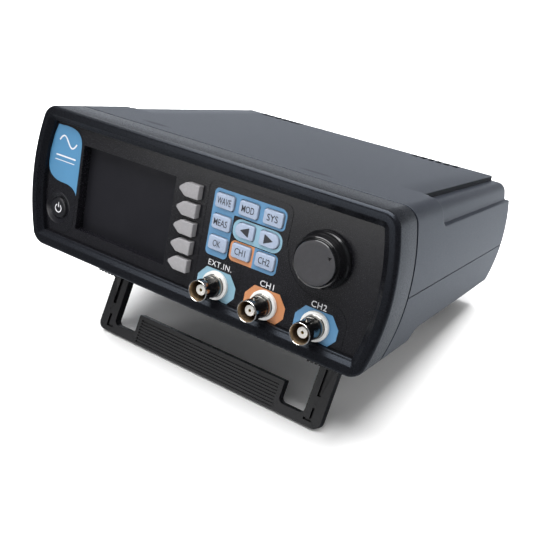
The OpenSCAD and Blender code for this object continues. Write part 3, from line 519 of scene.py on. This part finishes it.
def half_path(y, split):
    """The right half of the upper case outline at depth y, from the parting line to the top's middle."""
    a = SIDE_ANGLE
    a_split = math.asin((split - CASE_H / 2) / SIDE_R)
    step_z = CASE_H - RECESS_SIDE
    a_step = math.asin((step_z - CASE_H / 2) / SIDE_R)
    outer = []
    inner = []
    where = []
    # plain side from the parting line to the step
    side = arc(SIDE_CX, CASE_H / 2, SIDE_R, a_split, a_step - 0.008, 10)
    outer += side
    inner += side
    where += [0.0] * len(side)
    # rounded step down into the recess
    for k, depth in ((-0.004, 0.0), (-0.001, 0.12), (0.001, 0.5), (0.003, RECESS_IN - 0.7), (0.006, RECESS_IN - 0.15),
                     (0.010, RECESS_IN)):
        ang = a_step + k
        outer.append((SIDE_CX + SIDE_R * math.cos(ang), CASE_H / 2 + SIDE_R * math.sin(ang)))
        inner.append((SIDE_CX + (SIDE_R - depth) * math.cos(ang), CASE_H / 2 + (SIDE_R - depth) * math.sin(ang)))
        where.append(0.04)
    # the recessed corner
    for i in range(1, 4):
        ang = a_step + 0.010 + (a - a_step - 0.010) * i / 3
        outer.append((SIDE_CX + SIDE_R * math.cos(ang), CASE_H / 2 + SIDE_R * math.sin(ang)))
        inner.append((SIDE_CX + (SIDE_R - RECESS_IN) * math.cos(ang),
                      CASE_H / 2 + (SIDE_R - RECESS_IN) * math.sin(ang)))
        where.append(0.04 + 0.3 * i / 3)
    for i in range(1, 11):
        ang = a + (math.pi / 2 - a) * i / 10
        cx, cz = CORNER_CX, CASE_H - CORNER_R
        outer.append((cx + CORNER_R * math.cos(ang), cz + CORNER_R * math.sin(ang)))
        inner.append((cx + (CORNER_R - RECESS_IN) * math.cos(ang), cz + (CORNER_R - RECESS_IN) * math.sin(ang)))
        where.append(0.34 + 0.5 * i / 10)
    # the floor of the recess and the step up to the plateau
    for x, depth in ((86.3, RECESS_IN), (84.6, RECESS_IN), (84.25, RECESS_IN - 0.05), (84.1, RECESS_IN - 0.3),
                     (83.95, 0.4), (83.85, 0.1), (83.6, 0.0)):
        outer.append((x, CASE_H))
        inner.append((x, CASE_H - depth))
        where.append(0.97)
    for x in (70, 45, 20, 0):
        outer.append((x, CASE_H))
        inner.append((x, CASE_H))
        where.append(1.0)
    points = []
    for (ox, oz), (ix, iz), u in zip(outer, inner, where):
        start = RECESS_Y - 0.6 + 3.2 * abs(2 * u - 1) ** 5
        w = smooth((y - start) / 2.4)
        points.append((ox + (ix - ox) * w, oz + (iz - oz) * w))
    return points


def mirror_path(half):
    return half + [(-x, z) for x, z in reversed(half[:-1])]


def shell_ys():
    ys = [BEZEL_D, BEZEL_D + SEAM_HALF, BEZEL_D + SEAM_HALF + 0.04, BEZEL_D + SEAM_HALF + 0.15, 30, 40, 48, 51, 52]
    ys += [52.4 + 0.4 * i for i in range(14)]
    ys += [60, 80, 110, 140, 160, 168, 171.8, 172.4, 172.8, CASE_D]
    return ys


def build_shell(name, node, top):
    """Half of the case as a ring of sections: outer skin, rear opening, inner skin."""
    split = SPLIT_Z if top else CASE_H - SPLIT_Z
    opening_z = 50 if top else CASE_H - 12

    def section(y, inset=0.0, chamfer=True):
        pts = []
        for x, z in half_path(y, split):
            if inset:
                cx, cz = min(x, 78.0), CASE_H - 12.0
                d = Vector((x - cx, max(0.0, z - cz))) if z > cz else Vector((1.0, 0.0))
                if x < 78.0:
                    d = Vector((0.0, 1.0))
                d.normalize()
                x, z = x - d.x * inset, z - d.y * inset
            pts.append((x, z))
        if chamfer:
            x0, z0 = pts[0]
            pts = [(x0 - 1.0, z0 + 0.02), (x0 - 1.0, z0 + 0.17), (x0 - 0.1, z0 + 0.2), (x0, z0 + 0.35)] + pts[1:]
        return mirror_path(pts)

    outer = []
    for y in shell_ys():
        ring = section(y)
        lip = {BEZEL_D: SEAM_DEPTH, BEZEL_D + SEAM_HALF: SEAM_DEPTH, BEZEL_D + SEAM_HALF + 0.04: 0.1}.get(y, 0.0)
        end = {172.4: 0.12, 172.8: 0.35, CASE_D: 0.8}.get(y, 0.0)
        if lip or end:
            ring = section(y, lip or end)
        outer.append((y, ring))
    n = len(outer[0][1])
    half_n = (n + 1) // 2
    opening = []
    for i in range(half_n):
        t = i / (half_n - 1)
        rise = opening_z - split
        run = 72
        s = t * (rise + run)
        opening.append((run, split + 0.02 + s) if s < rise else (run - (s - rise), opening_z))
    opening = mirror_path(opening)
    rings = [flat(r, y) for y, r in outer]
    rings.append(flat(opening, CASE_D))
    rings.append(flat(opening, CASE_D - 2.2))
    for y in (CASE_D - 2.2, 140, 100, 60, BEZEL_D + 0.0):
        rings.append(flat(section(CASE_D - 10 if y > 56 else 40, 2.2), y))
    rings[-1] = flat(section(40, 2.2), BEZEL_D)
    bm = bmesh.new()
    rows = [[bm.verts.new((x, y, z if top else CASE_H - z)) for x, y, z in ring] for ring in rings]
    count = len(rows)
    for a in range(count):
        b = (a + 1) % count
        for i in range(n - 1):
            bm.faces.new((rows[a][i], rows[a][i + 1], rows[b][i + 1], rows[b][i]))
    bm.faces.new([row[0] for row in rows])
    bm.faces.new([row[-1] for row in reversed(rows)])
    bmesh.ops.remove_doubles(bm, verts=bm.verts, dist=0.001)
    # The step beside the plateau gets a darker, duller material: painted shade in its corner
    for face in bm.faces:
        centre = face.calc_center_median()
        if 83.9 < abs(centre.x) < 84.6 and centre.y > 55 and abs(centre.z - CASE_H / 2) > CASE_H / 2 - 3.5:
            face.material_index = 1
    ob = add_object(name, bm, [SHELL, SHELL_STEP_SHADE], "case", 32)
    cutters = bmesh.new()
    if top:
        for group in (-56.4, 50.7):
            for i in range(6):
                x = group + (i - 2.5) * 5
                box_bm(cutters, x - 1.75, x + 1.75, CASE_D - 3.5, CASE_D + 5, 54, CASE_H - 5.2)
                box_bm(cutters, x - 1.75, x + 1.75, CASE_D - 10, CASE_D - 0.7, CASE_H - 5, CASE_H + 5)
    else:
        for sx in (-1, 1):
            for i in range(20):
                x0, x1 = sorted((sx * 84.5, sx * 91.5))
                box_bm(cutters, x0, x1, 79 + i * 3.9, 81 + i * 3.9, -1, 5.2)
            for i in range(8):
                box_bm(cutters, sx * 32 - 15, sx * 32 + 15, 86 + i * 6, 88.4 + i * 6, -1, 4.2)
            for y in (62, 156):
                lathe(cutters, 0, 0, [(3.1, -1), (3.1, 4)], 32)
                bmesh.ops.rotate(cutters, verts=cutters.verts[-64:], cent=(0, 0, 0),
                                 matrix=Matrix.Rotation(math.pi / 2, 3, "X"))
                bmesh.ops.translate(cutters, verts=cutters.verts[-64:], vec=(sx * 80, y, 0))
    cut(ob, cutters)
    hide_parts(node)


# ---------- keys ----------

SOFTKEY_PITCH, SOFTKEY_TOP = 8.7, 53
KEY_COLUMNS, KEY_ROWS = (15.1, 27.6, 40.1), (52.8, 43.15, 33.5)
KEY_NAMES = (("key_wave", "key_mod", "key_sys"), ("key_meas", "key_left", "key_right"),
             ("key_ok", "key_ch1", "key_ch2"))
KEY_W, KEY_H, KEY_FACE = 9.7, 6.5, 2.8


def softkey_shape(z):
    points = [(-8.7, z - 0.6), (-5.3, z - 3.2), (2.1, z - 3.2), (2.1, z + 3.2), (-5.3, z + 3.2), (-8.7, z + 0.6)]
    return lambda inset: rounded(points, [0.9, 2.2, 0.4, 0.4, 2.2, 0.9], inset)


def key_shape(x, z, side):
    end = KEY_H / 2 - 0.05
    radii = {-1: [end, 1.2, 1.2, end], 0: [1.2] * 4, 1: [1.2, end, end, 1.2]}[side]
    return lambda inset: rounded(rectangle(x, z, KEY_W, KEY_H), radii, inset)


def flange_and_stem(bm, x, z, w, h):
    ring = rounded(rectangle(x, z, w, h), 0.8, 0, 3)
    loft(bm, [flat(ring, PANEL_BACK + 0.31), flat(ring, PANEL_BACK + 1.3)])
    lathe(bm, x, z, [(1.5, PANEL_BACK + 1.2), (1.5, 9.3), (1.4, 9.4)], 24)


def build_keys():
    for i in range(5):
        z = SOFTKEY_TOP - i * SOFTKEY_PITCH
        bm = bmesh.new()
        cap_block(bm, softkey_shape(z), 1.0, PANEL_BACK + 0.8, 0.45)
        flange_and_stem(bm, -3.3, z, 12.0, 7.8)
        ob = add_object(f"softkey_cap_{i + 1}", bm, [SOFTKEY], f"softkey_{i + 1}_body", 40)
        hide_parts(f"softkey_{i + 1}")
    for row in range(3):
        for col in range(3):
            name = KEY_NAMES[row][col]
            side = 2 * col - 3 if row == 1 and col > 0 else 0
            bm = bmesh.new()
            cap_block(bm, key_shape(KEY_COLUMNS[col], KEY_ROWS[row], side), KEY_FACE, PANEL_BACK + 0.8, 0.5)
            flange_and_stem(bm, KEY_COLUMNS[col], KEY_ROWS[row], KEY_W + 1.4, KEY_H + 1.4)
            ob = add_object(name.replace("key_", "cap_"), bm, [KEYCAP], name + "_body", 40)
            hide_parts(name)


def lettering(name, text, x, z, height, width, y, material, body, weight=0.005, spacing=1.0):
    """A printed word centred at (x, z): height of the capitals and overall width in mm."""
    curve = bpy.data.curves.new(name, "FONT")
    curve.body = text
    curve.align_x = "CENTER"
    curve.extrude = 0.5
    curve.offset = weight
    curve.space_character = spacing
    curve.resolution_u = 4
    tmp = bpy.data.objects.new(name + "_tmp", curve)
    bpy.context.scene.collection.objects.link(tmp)
    bpy.context.view_layer.update()
    me = bpy.data.meshes.new_from_object(tmp.evaluated_get(bpy.context.evaluated_depsgraph_get()))
    bpy.data.objects.remove(tmp)
    xs = [v.co.x for v in me.vertices]
    ys = [v.co.y for v in me.vertices]
    sx, sy = width / (max(xs) - min(xs)), height / (max(ys) - min(ys))
    mx, my = (max(xs) + min(xs)) / 2, (max(ys) + min(ys)) / 2
    for v in me.vertices:
        v.co = Vector((x + (v.co.x - mx) * sx, y - (v.co.z + 0.5) * PRINT_T, z + (v.co.y - my) * sy))
    bm = bmesh.new()
    bm.from_mesh(me)
    bmesh.ops.remove_doubles(bm, verts=bm.verts, dist=1e-5)
    bpy.data.meshes.remove(me)
    ob = add_object(name, bm, [material], body, 40)
    return ob


def plate(name, outline, y, material, body, thickness=PRINT_T, cutters=None):
    """A thin printed patch whose back lies at y."""
    bm = bmesh.new()
    loft(bm, [flat(outline, y), flat(outline, y - thickness)])
    ob = add_object(name, bm, [material], body, 40)
    if cutters:
        tool = bmesh.new()
        for ring in cutters:
            loft(tool, [flat(ring, y + 1), flat(ring, y - 1)])
        cut(ob, tool)
    return ob


def build_legends():
    words = {"key_wave": ("WAVE", 7.0), "key_mod": ("MOD", 6.2), "key_sys": ("SYS", 5.2), "key_meas": ("MEAS", 6.8),
             "key_ok": ("OK", 3.9), "key_ch1": ("CH1", 5.3), "key_ch2": ("CH2", 5.6)}
    for row in range(3):
        for col in range(3):
            name = KEY_NAMES[row][col]
            x, z = KEY_COLUMNS[col], KEY_ROWS[row]
            if name in words:
                word, width = words[name]
                lettering(name.replace("key_", "legend_"), word, x - 0.2, z, 3.05, width * 1.04, KEY_FACE, LEGEND,
                          name + "_body")
            else:
                s = -1 if name == "key_left" else 1
                ring = [(x - s * 2.3, z - 2.2 * s), (x + s * 2.3, z), (x - s * 2.3, z + 2.2 * s)]
                plate(name.replace("key_", "arrow_"), rounded(ring, 0.2, 0, 3), KEY_FACE, LEGEND, name + "_body")
    front = PANEL_Y - PRINT_T
    lettering("label_ext_in", "EXT.IN.", 18.0, 24.0, 2.65, 12.6, front, WHITE, "case", 0, 1.12)
    lettering("label_ch1", "CH1", 43.2, 23.55, 2.75, 7.0, front, WHITE, "case", 0.005, 1.08)
    lettering("label_ch2", "CH2", 69.1, 23.55, 2.75, 7.3, front, WHITE, "case", 0.005, 1.08)


def build_prints():
    y = PANEL_Y
    holes = [key_shape(KEY_COLUMNS[c], KEY_ROWS[r], 2 * c - 3 if r == 1 and c > 0 else 0)(-0.3)
             for r in range(3) for c in range(3)]
    l_shape = [(8.8, 27.2), (20.5, 27.2), (20.5, 48.3), (46.1, 48.3), (46.1, 57.9), (8.8, 57.9)]
    plate("print_keypad_blue", rounded(l_shape, [2.2, 2.2, 0.6, 2.2, 3.0, 2.2], 0, 8), y, MID_BLUE, "case",
          cutters=[holes[i] for i in (0, 1, 2, 3, 6)])
    arrows = rounded(rectangle(33.65, 42.8, 25.2, 9.6), 4.2, 0, 8)
    plate("print_arrows", arrows, y, LIGHT_BLUE, "case", cutters=[holes[4], holes[5]])
    left_half = rounded([(21.4, 28.2), (33.75, 28.2), (33.75, 37.6), (21.4, 37.6)], [2.4, 0, 0, 2.4], 0, 8)
    right_half = rounded([(33.75, 28.2), (45.9, 28.2), (45.9, 37.6), (33.75, 37.6)], [0, 2.4, 2.4, 0], 0, 8)
    plate("print_ch1", left_half, y, ORANGE, "case", cutters=[holes[7]])
    plate("print_ch2", right_half, y, MID_BLUE, "case", cutters=[holes[8]])
    for i, (name, ink) in enumerate((("ext_in", LIGHT_BLUE), ("ch1", ORANGE), ("ch2", MID_BLUE))):
        x = 17.6 + 25.9 * i
        octagon = [(x - 6.2, 9.0), (x + 7.2, 7.6), (x + 10.5, 11.5), (x + 10.5, 16.4), (x + 6.6, 21.6),
                   (x - 6.3, 21.6), (x - 10.4, 16.7), (x - 10.4, 11.2)]
        ring = arc(x, 14.5, 6.4, 0, 2 * math.pi, 40)[:-1]
        plate("print_socket_" + name, rounded(octagon, 0.25, 0, 2), y, ink, "case", cutters=[ring])


def build_badge():
    """Blue badge with a generic sine-wave mark."""
    y = PANEL_Y
    top = [(-88.3, 62.6), (-82.0, 62.9)]
    curve = []
    for t in [i / 8 for i in range(9)]:
        a, b, c = Vector((-82.0, 62.9)), Vector((-71.6, 62.9)), Vector((-71.8, 54.5))
        curve.append(tuple(a * (1 - t) ** 2 + b * 2 * t * (1 - t) + c * t ** 2))
    down = [(-71.9, 42.0), (-72.1, 30.2)]
    tail = []
    for t in [i / 8 for i in range(1, 9)]:
        a, b, c = Vector((-72.1, 30.2)), Vector((-74.0, 34.6)), Vector((-81.0, 34.5))
        tail.append(tuple(a * (1 - t) ** 2 + b * 2 * t * (1 - t) + c * t ** 2))
    low = []
    for t in [i / 8 for i in range(1, 9)]:
        a, b, c = Vector((-81.0, 34.5)), Vector((-92.0, 34.2)), Vector((-92.4, 42.5))
        low.append(tuple(a * (1 - t) ** 2 + b * 2 * t * (1 - t) + c * t ** 2))
    side = [(SIDE_R * 0 - 92.1, 49.0), (-90.6, 56.5)]
    ring = top + curve[1:] + down + tail + low + side
    plate("badge", list(reversed(ring)), y, BLUE, "case")
    wave = []
    steps = 40
    for i in range(steps + 1):
        t = i / steps
        wave.append((-86.6 + 11.6 * t, 55.2 + 2.6 * math.sin(2 * math.pi * t)))
    half = 0.36
    upper, lower = [], []
    for i, (px, pz) in enumerate(wave):
        qx, qz = wave[min(i + 1, steps)]
        rx, rz = wave[max(i - 1, 0)]
        d = Vector((qx - rx, qz - rz)).normalized()
        upper.append((px - d.y * half, pz + d.x * half))
        lower.append((px + d.y * half, pz - d.x * half))
    plate("badge_wave", lower + list(reversed(upper)), y - PRINT_T, WHITE, "case", 0.04)
    plate("badge_rule_upper", rounded(rectangle(-81.4, 47.6, 13.2, 0.7), 0.3, 0, 3), y - PRINT_T, WHITE, "case", 0.04)
    plate("badge_rule_lower", rounded(rectangle(-81.9, 45.2, 13.2, 0.35), 0.15, 0, 3), y - PRINT_T, WHITE, "case",
          0.04)


def build_power():
    x, z = -83.3, 20.8
    bm = bmesh.new()
    face = 4.2
    profile = [(0.01, face + 0.12), (3.2, face + 0.1), (4.2, face), (4.8, face + 0.1), (5.15, face + 0.4),
               (5.2, face + 0.8), (5.2, 7.35), (6.2, 7.35), (6.2, 8.3), (1.5, 8.3), (1.5, 10)]
    lathe(bm, x, z, profile, 64)
    bmesh.ops.remove_doubles(bm, verts=bm.verts, dist=0.02)
    ob = add_object("power_cap", bm, [POWER], "power_button_body", 40)
    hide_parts("power_button")
    # The standby symbol: an open ring and a bar
    y = face + 0.12
    r, w = 2.0, 0.26
    gap = math.radians(32)
    a0, a1 = math.pi / 2 + gap, math.pi / 2 + 2 * math.pi - gap
    ring = arc(x, z - 0.2, r - w, a1, a0, 36) + arc(x, z - 0.2, r + w, a0, a1, 36)
    plate("standby_ring", ring, y, WHITE, "power_button_body", 0.05)
    plate("standby_bar", rounded(rectangle(x, z + 1.55, 0.5, 2.5), 0.2, 0, 3), y, WHITE, "power_button_body", 0.05)
    bm = bmesh.new()
    lathe(bm, x, z, [(5.55, 4.9), (7.6, 3.99), (8.0, 3.85), (8.35, 3.88), (8.5, 3.99), (8.5, 4.3), (5.55, 5.2)], 64,
          close=True)
    add_object("power_surround", bm, [PANEL], "case", 50)


# ---------- knob and sockets ----------


def build_knob():
    x, z = 67, 43.5
    y0 = 3.4
    hollow = [(0.01, y0 - 8.0), (3.05, y0 - 8.0), (3.05, y0 - 4.0), (8.6, y0 - 4.0), (8.6, y0)]
    skirt = [(12.0, y0), (12.3, y0 - 0.12), (12.4, y0 - 0.4), (12.4, y0 - 1.2), (12.25, y0 - 1.6), (11.8, y0 - 2.1),
             (11.2, y0 - 2.9), (10.95, y0 - 3.5), (10.85, y0 - 4.2)]
    grip = [(10.75, y0 - 7.3), (10.6, y0 - 7.75), (10.3, y0 - 7.95), (9.95, y0 - 7.9), (9.75, y0 - 7.7),
            (9.6, y0 - 7.8), (9.5, y0 - 8.6), (9.4, y0 - 9.05), (9.2, y0 - 9.3)]
    face = [(8.9, y0 - 9.4), (7.5, y0 - 9.34), (5.0, y0 - 9.26), (2.0, y0 - 9.22), (0.01, y0 - 9.21)]
    bm = bmesh.new()
    lathe(bm, x, z, hollow + skirt + grip + face, 128)
    bmesh.ops.remove_doubles(bm, verts=bm.verts, dist=0.02)
    for f in bm.faces:
        c = f.calc_center_median()
        if c.y < y0 - 9.0 and math.hypot(c.x - x, c.z - z) < 9.15:
            f.material_index = 1
    ob = add_object("knob_cap", bm, [KNOB_SIDE, KNOB_FACE], "knob_body", 40)
    # A small sunk arrowhead near the rim of the face
    turn = math.radians(32)
    along, across = Vector((math.cos(turn), math.sin(turn))), Vector((-math.sin(turn), math.cos(turn)))
    middle = Vector((x, z)) + along * 7.3
    arrow = [middle + along * a + across * b
             for a, b in ((1.1, 0), (-0.8, 0.95), (-0.35, 0.2), (-1.2, 0), (-0.35, -0.2), (-0.8, -0.95))]
    cutter = bmesh.new()
    loft(cutter, [flat([tuple(v) for v in arrow], y) for y in (y0 - 10.4, y0 - 8.9)])
    cut(ob, cutter)
    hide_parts("knob")


def build_sockets():
    z = 14.5
    rim = PANEL_Y - 14
    back = 13.0
    for i, name in enumerate(("ext_in", "ch1", "ch2")):
        x = 17.6 + 25.9 * i
        bm = bmesh.new()
        thread = [(2.4, back), (4.4, back), (4.6, back - 0.2), (4.6, 4.0)]
        flange = [(6.45, 4.0), (6.65, 3.8), (6.65, 2.5), (6.55, 2.3), (6.35, 2.2), (5.3, 2.2)]
        collar = [(5.1, 2.05), (5.1, -0.2), (5.0, -0.5), (4.8, -0.6), (4.65, -0.62)]
        barrel_wall = [(4.6, -0.75), (4.6, rim + 4.15), (4.83, rim + 3.92), (4.83, rim + 0.25), (4.78, rim + 0.07)]
        mouth = [(4.7, rim), (4.56, rim), (4.46, rim + 0.12), (4.1, rim + 1.4), (4.1, 1.5), (2.4, 1.5)]
        lathe(bm, x, z, thread + flange + collar + barrel_wall + mouth, 96, close=True)
        for f in bm.faces:
            c = f.calc_center_median()
            r = math.hypot(c.x - x, c.z - z)
            # Faces at the front rim take the brighter metal, a painted highlight
            if c.y < rim + 0.16:
                f.material_index = 3
            elif c.y < 1.6 and r < 4.5:
                f.material_index = 1
            elif 2.1 < c.y < 4.1 and r > 5.2:
                f.material_index = 2
        # Bayonet lugs with rounded ends, above and below the barrel
        for s in (-1, 1):
            lug = []
            for r, h in ((0.98, 4.45), (0.98, 5.3), (0.9, 5.45), (0.6, 5.5)):
                lug.append([(x + r * math.cos(a), rim + 5 + r * math.sin(a), z + s * h)
                            for a in [2 * math.pi * k / 24 for k in range(24)]])
            loft(bm, lug)
        ob = add_object("socket_body_" + name, bm, [NICKEL, BORE, FLANGE, RIM_HIGHLIGHT_METAL], "case", 35)
        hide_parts("socket_" + name)


# ---------- stage ----------


def build_stage():
    floor = bpy.data.meshes.new("floor")
    size = 6.0
    floor.from_pydata([(-size, -size, 0), (size, -size, 0), (size, size, 0), (-size, size, 0)], [], [(0, 1, 2, 3)])
    ob = bpy.data.objects.new("floor", floor)
    bpy.context.scene.collection.objects.link(ob)
    n = Nodes("floor_white")
    light_path = n.add("ShaderNodeLightPath")
    spread = n.mix(n.range(n.noise(3, 2), 0, 1), (0.90, 0.90, 0.90), (0.92, 0.92, 0.92))
    # For glossy rays only, the floor is painted black towards the front: painted shade in what the glossy front
    # mirrors
    where = n.add("ShaderNodeSeparateXYZ")
    n.link(n.coord, where.inputs[0])
    near = n.range(where.outputs["Y"], 0.04, 0.42, -0.3, 0.0)
    mirrored = n.mix(near, (0, 0, 0), (0.86, 0.92, 1.0))
    n.link(n.mix(light_path.outputs["Is Glossy Ray"], spread, mirrored), n.bsdf.inputs["Base Color"])
    n.bsdf.inputs["Roughness"].default_value = 0.9
    n.bsdf.inputs["Specular IOR Level"].default_value = 0.1
    # Far from the object the table fades into the white backdrop
    reach = n.add("ShaderNodeVectorMath", operation="LENGTH")
    n.link(n.coord, reach.inputs[0])
    fade = n.range(reach.outputs["Value"], 0, 1, 0.4, 0.9)
    n.bsdf.inputs["Emission Color"].default_value = (1, 1, 1, 1)
    n.link(n.math("MULTIPLY", fade, light_path.outputs["Is Camera Ray"]), n.bsdf.inputs["Emission Strength"])
    floor.materials.append(n.mat)

    def area(name, position, target, size_x, size_y, power, colour=(1, 1, 1)):
        light = bpy.data.lights.new(name, "AREA")
        light.shape = "RECTANGLE"
        light.size, light.size_y = size_x, size_y
        light.energy = power
        light.color = colour
        lamp = bpy.data.objects.new(name, light)
        lamp.location = position
        lamp.rotation_euler = (Vector(target) - Vector(position)).to_track_quat("-Z", "Y").to_euler()
        bpy.context.scene.collection.objects.link(lamp)

    area("overhead", (-0.2, -0.04, 1.5), (0, -0.05, 0), 1.8, 1.6, 84)
    area("front_left", (-0.6, -1.5, 0.49), (0, -0.1, 0.08), 0.9, 0.54, 5.6)
    area("back_left", (-0.9, 0.9, 0.9), (0, 0, 0.05), 0.8, 0.8, 5, (0.93, 0.96, 1.0))
    world = bpy.data.worlds.new("studio")
    world.use_nodes = True
    tree = world.node_tree
    sky = tree.nodes["Background"]
    path = tree.nodes.new("ShaderNodeLightPath")
    ray = tree.nodes.new("ShaderNodeTexCoord")
    split = tree.nodes.new("ShaderNodeSeparateXYZ")
    tree.links.new(ray.outputs["Generated"], split.inputs[0])
    # The room is bright behind and above, and dark on the camera's side
    level = tree.nodes.new("ShaderNodeMapRange")
    tree.links.new(split.outputs["Y"], level.inputs["Value"])
    for key, value in (("From Min", -0.7), ("From Max", 0.5), ("To Min", 0.12), ("To Max", 0.55)):
        level.inputs[key].default_value = value
    lift = tree.nodes.new("ShaderNodeMapRange")
    tree.links.new(split.outputs["Z"], lift.inputs["Value"])
    for key, value in (("From Min", 0.1), ("From Max", 0.8), ("To Min", 0.0), ("To Max", 0.35)):
        lift.inputs[key].default_value = value
    total = tree.nodes.new("ShaderNodeMath")
    total.operation = "ADD"
    tree.links.new(level.outputs[0], total.inputs[0])
    tree.links.new(lift.outputs[0], total.inputs[1])
    # Mirrored in the glossy plastics, the room is dimmer
    dimmer = tree.nodes.new("ShaderNodeMath")
    dimmer.operation = "MULTIPLY_ADD"
    tree.links.new(path.outputs["Is Glossy Ray"], dimmer.inputs[0])
    dimmer.inputs[1].default_value = -0.62
    dimmer.inputs[2].default_value = 1.0
    dimmed = tree.nodes.new("ShaderNodeMath")
    dimmed.operation = "MULTIPLY"
    tree.links.new(total.outputs[0], dimmed.inputs[0])
    tree.links.new(dimmer.outputs[0], dimmed.inputs[1])
    shown = tree.nodes.new("ShaderNodeMath")
    shown.operation = "MAXIMUM"
    tree.links.new(dimmed.outputs[0], shown.inputs[0])
    tree.links.new(path.outputs["Is Camera Ray"], shown.inputs[1])
    tree.links.new(shown.outputs[0], sky.inputs["Strength"])
    hue = tree.nodes.new("ShaderNodeMix")
    hue.data_type = "RGBA"
    tree.links.new(path.outputs["Is Glossy Ray"], hue.inputs["Factor"])
    hue.inputs[6].default_value = (1, 1, 1, 1)
    hue.inputs[7].default_value = (0.84, 0.9, 1.0, 1)
    tree.links.new(hue.outputs[2], sky.inputs["Color"])
    bpy.context.scene.world = world
    scene = bpy.context.scene
    scene.view_settings.view_transform = "Standard"

    camera = bpy.data.cameras.new("camera")
    camera.lens = 49.33
    camera.sensor_width = 36
    camera.clip_start = 0.01
    cam = bpy.data.objects.new("camera", camera)
    right = Vector((0.8367741, 0.5125634, 0.19258208))
    down = Vector((0.32182968, -0.17585161, -0.93032353))
    forward = Vector((-0.44298392, 0.84044927, -0.31210619))
    turn = (TURN @ Matrix((right, -down, -forward)).transposed()).to_4x4()
    cam.matrix_world = Matrix.Translation(LEVEL @ Vector((183.18, -261.84, 129.25))) @ turn
    bpy.context.scene.collection.objects.link(cam)
    scene.camera = cam


dress_cad_nodes()
build_bezel()
build_shell("shell_top", "top_shell", True)
build_shell("shell_bottom", "bottom_shell", False)
build_keys()
build_legends()
build_prints()
build_badge()
build_power()
build_knob()
build_sockets()
build_stage()
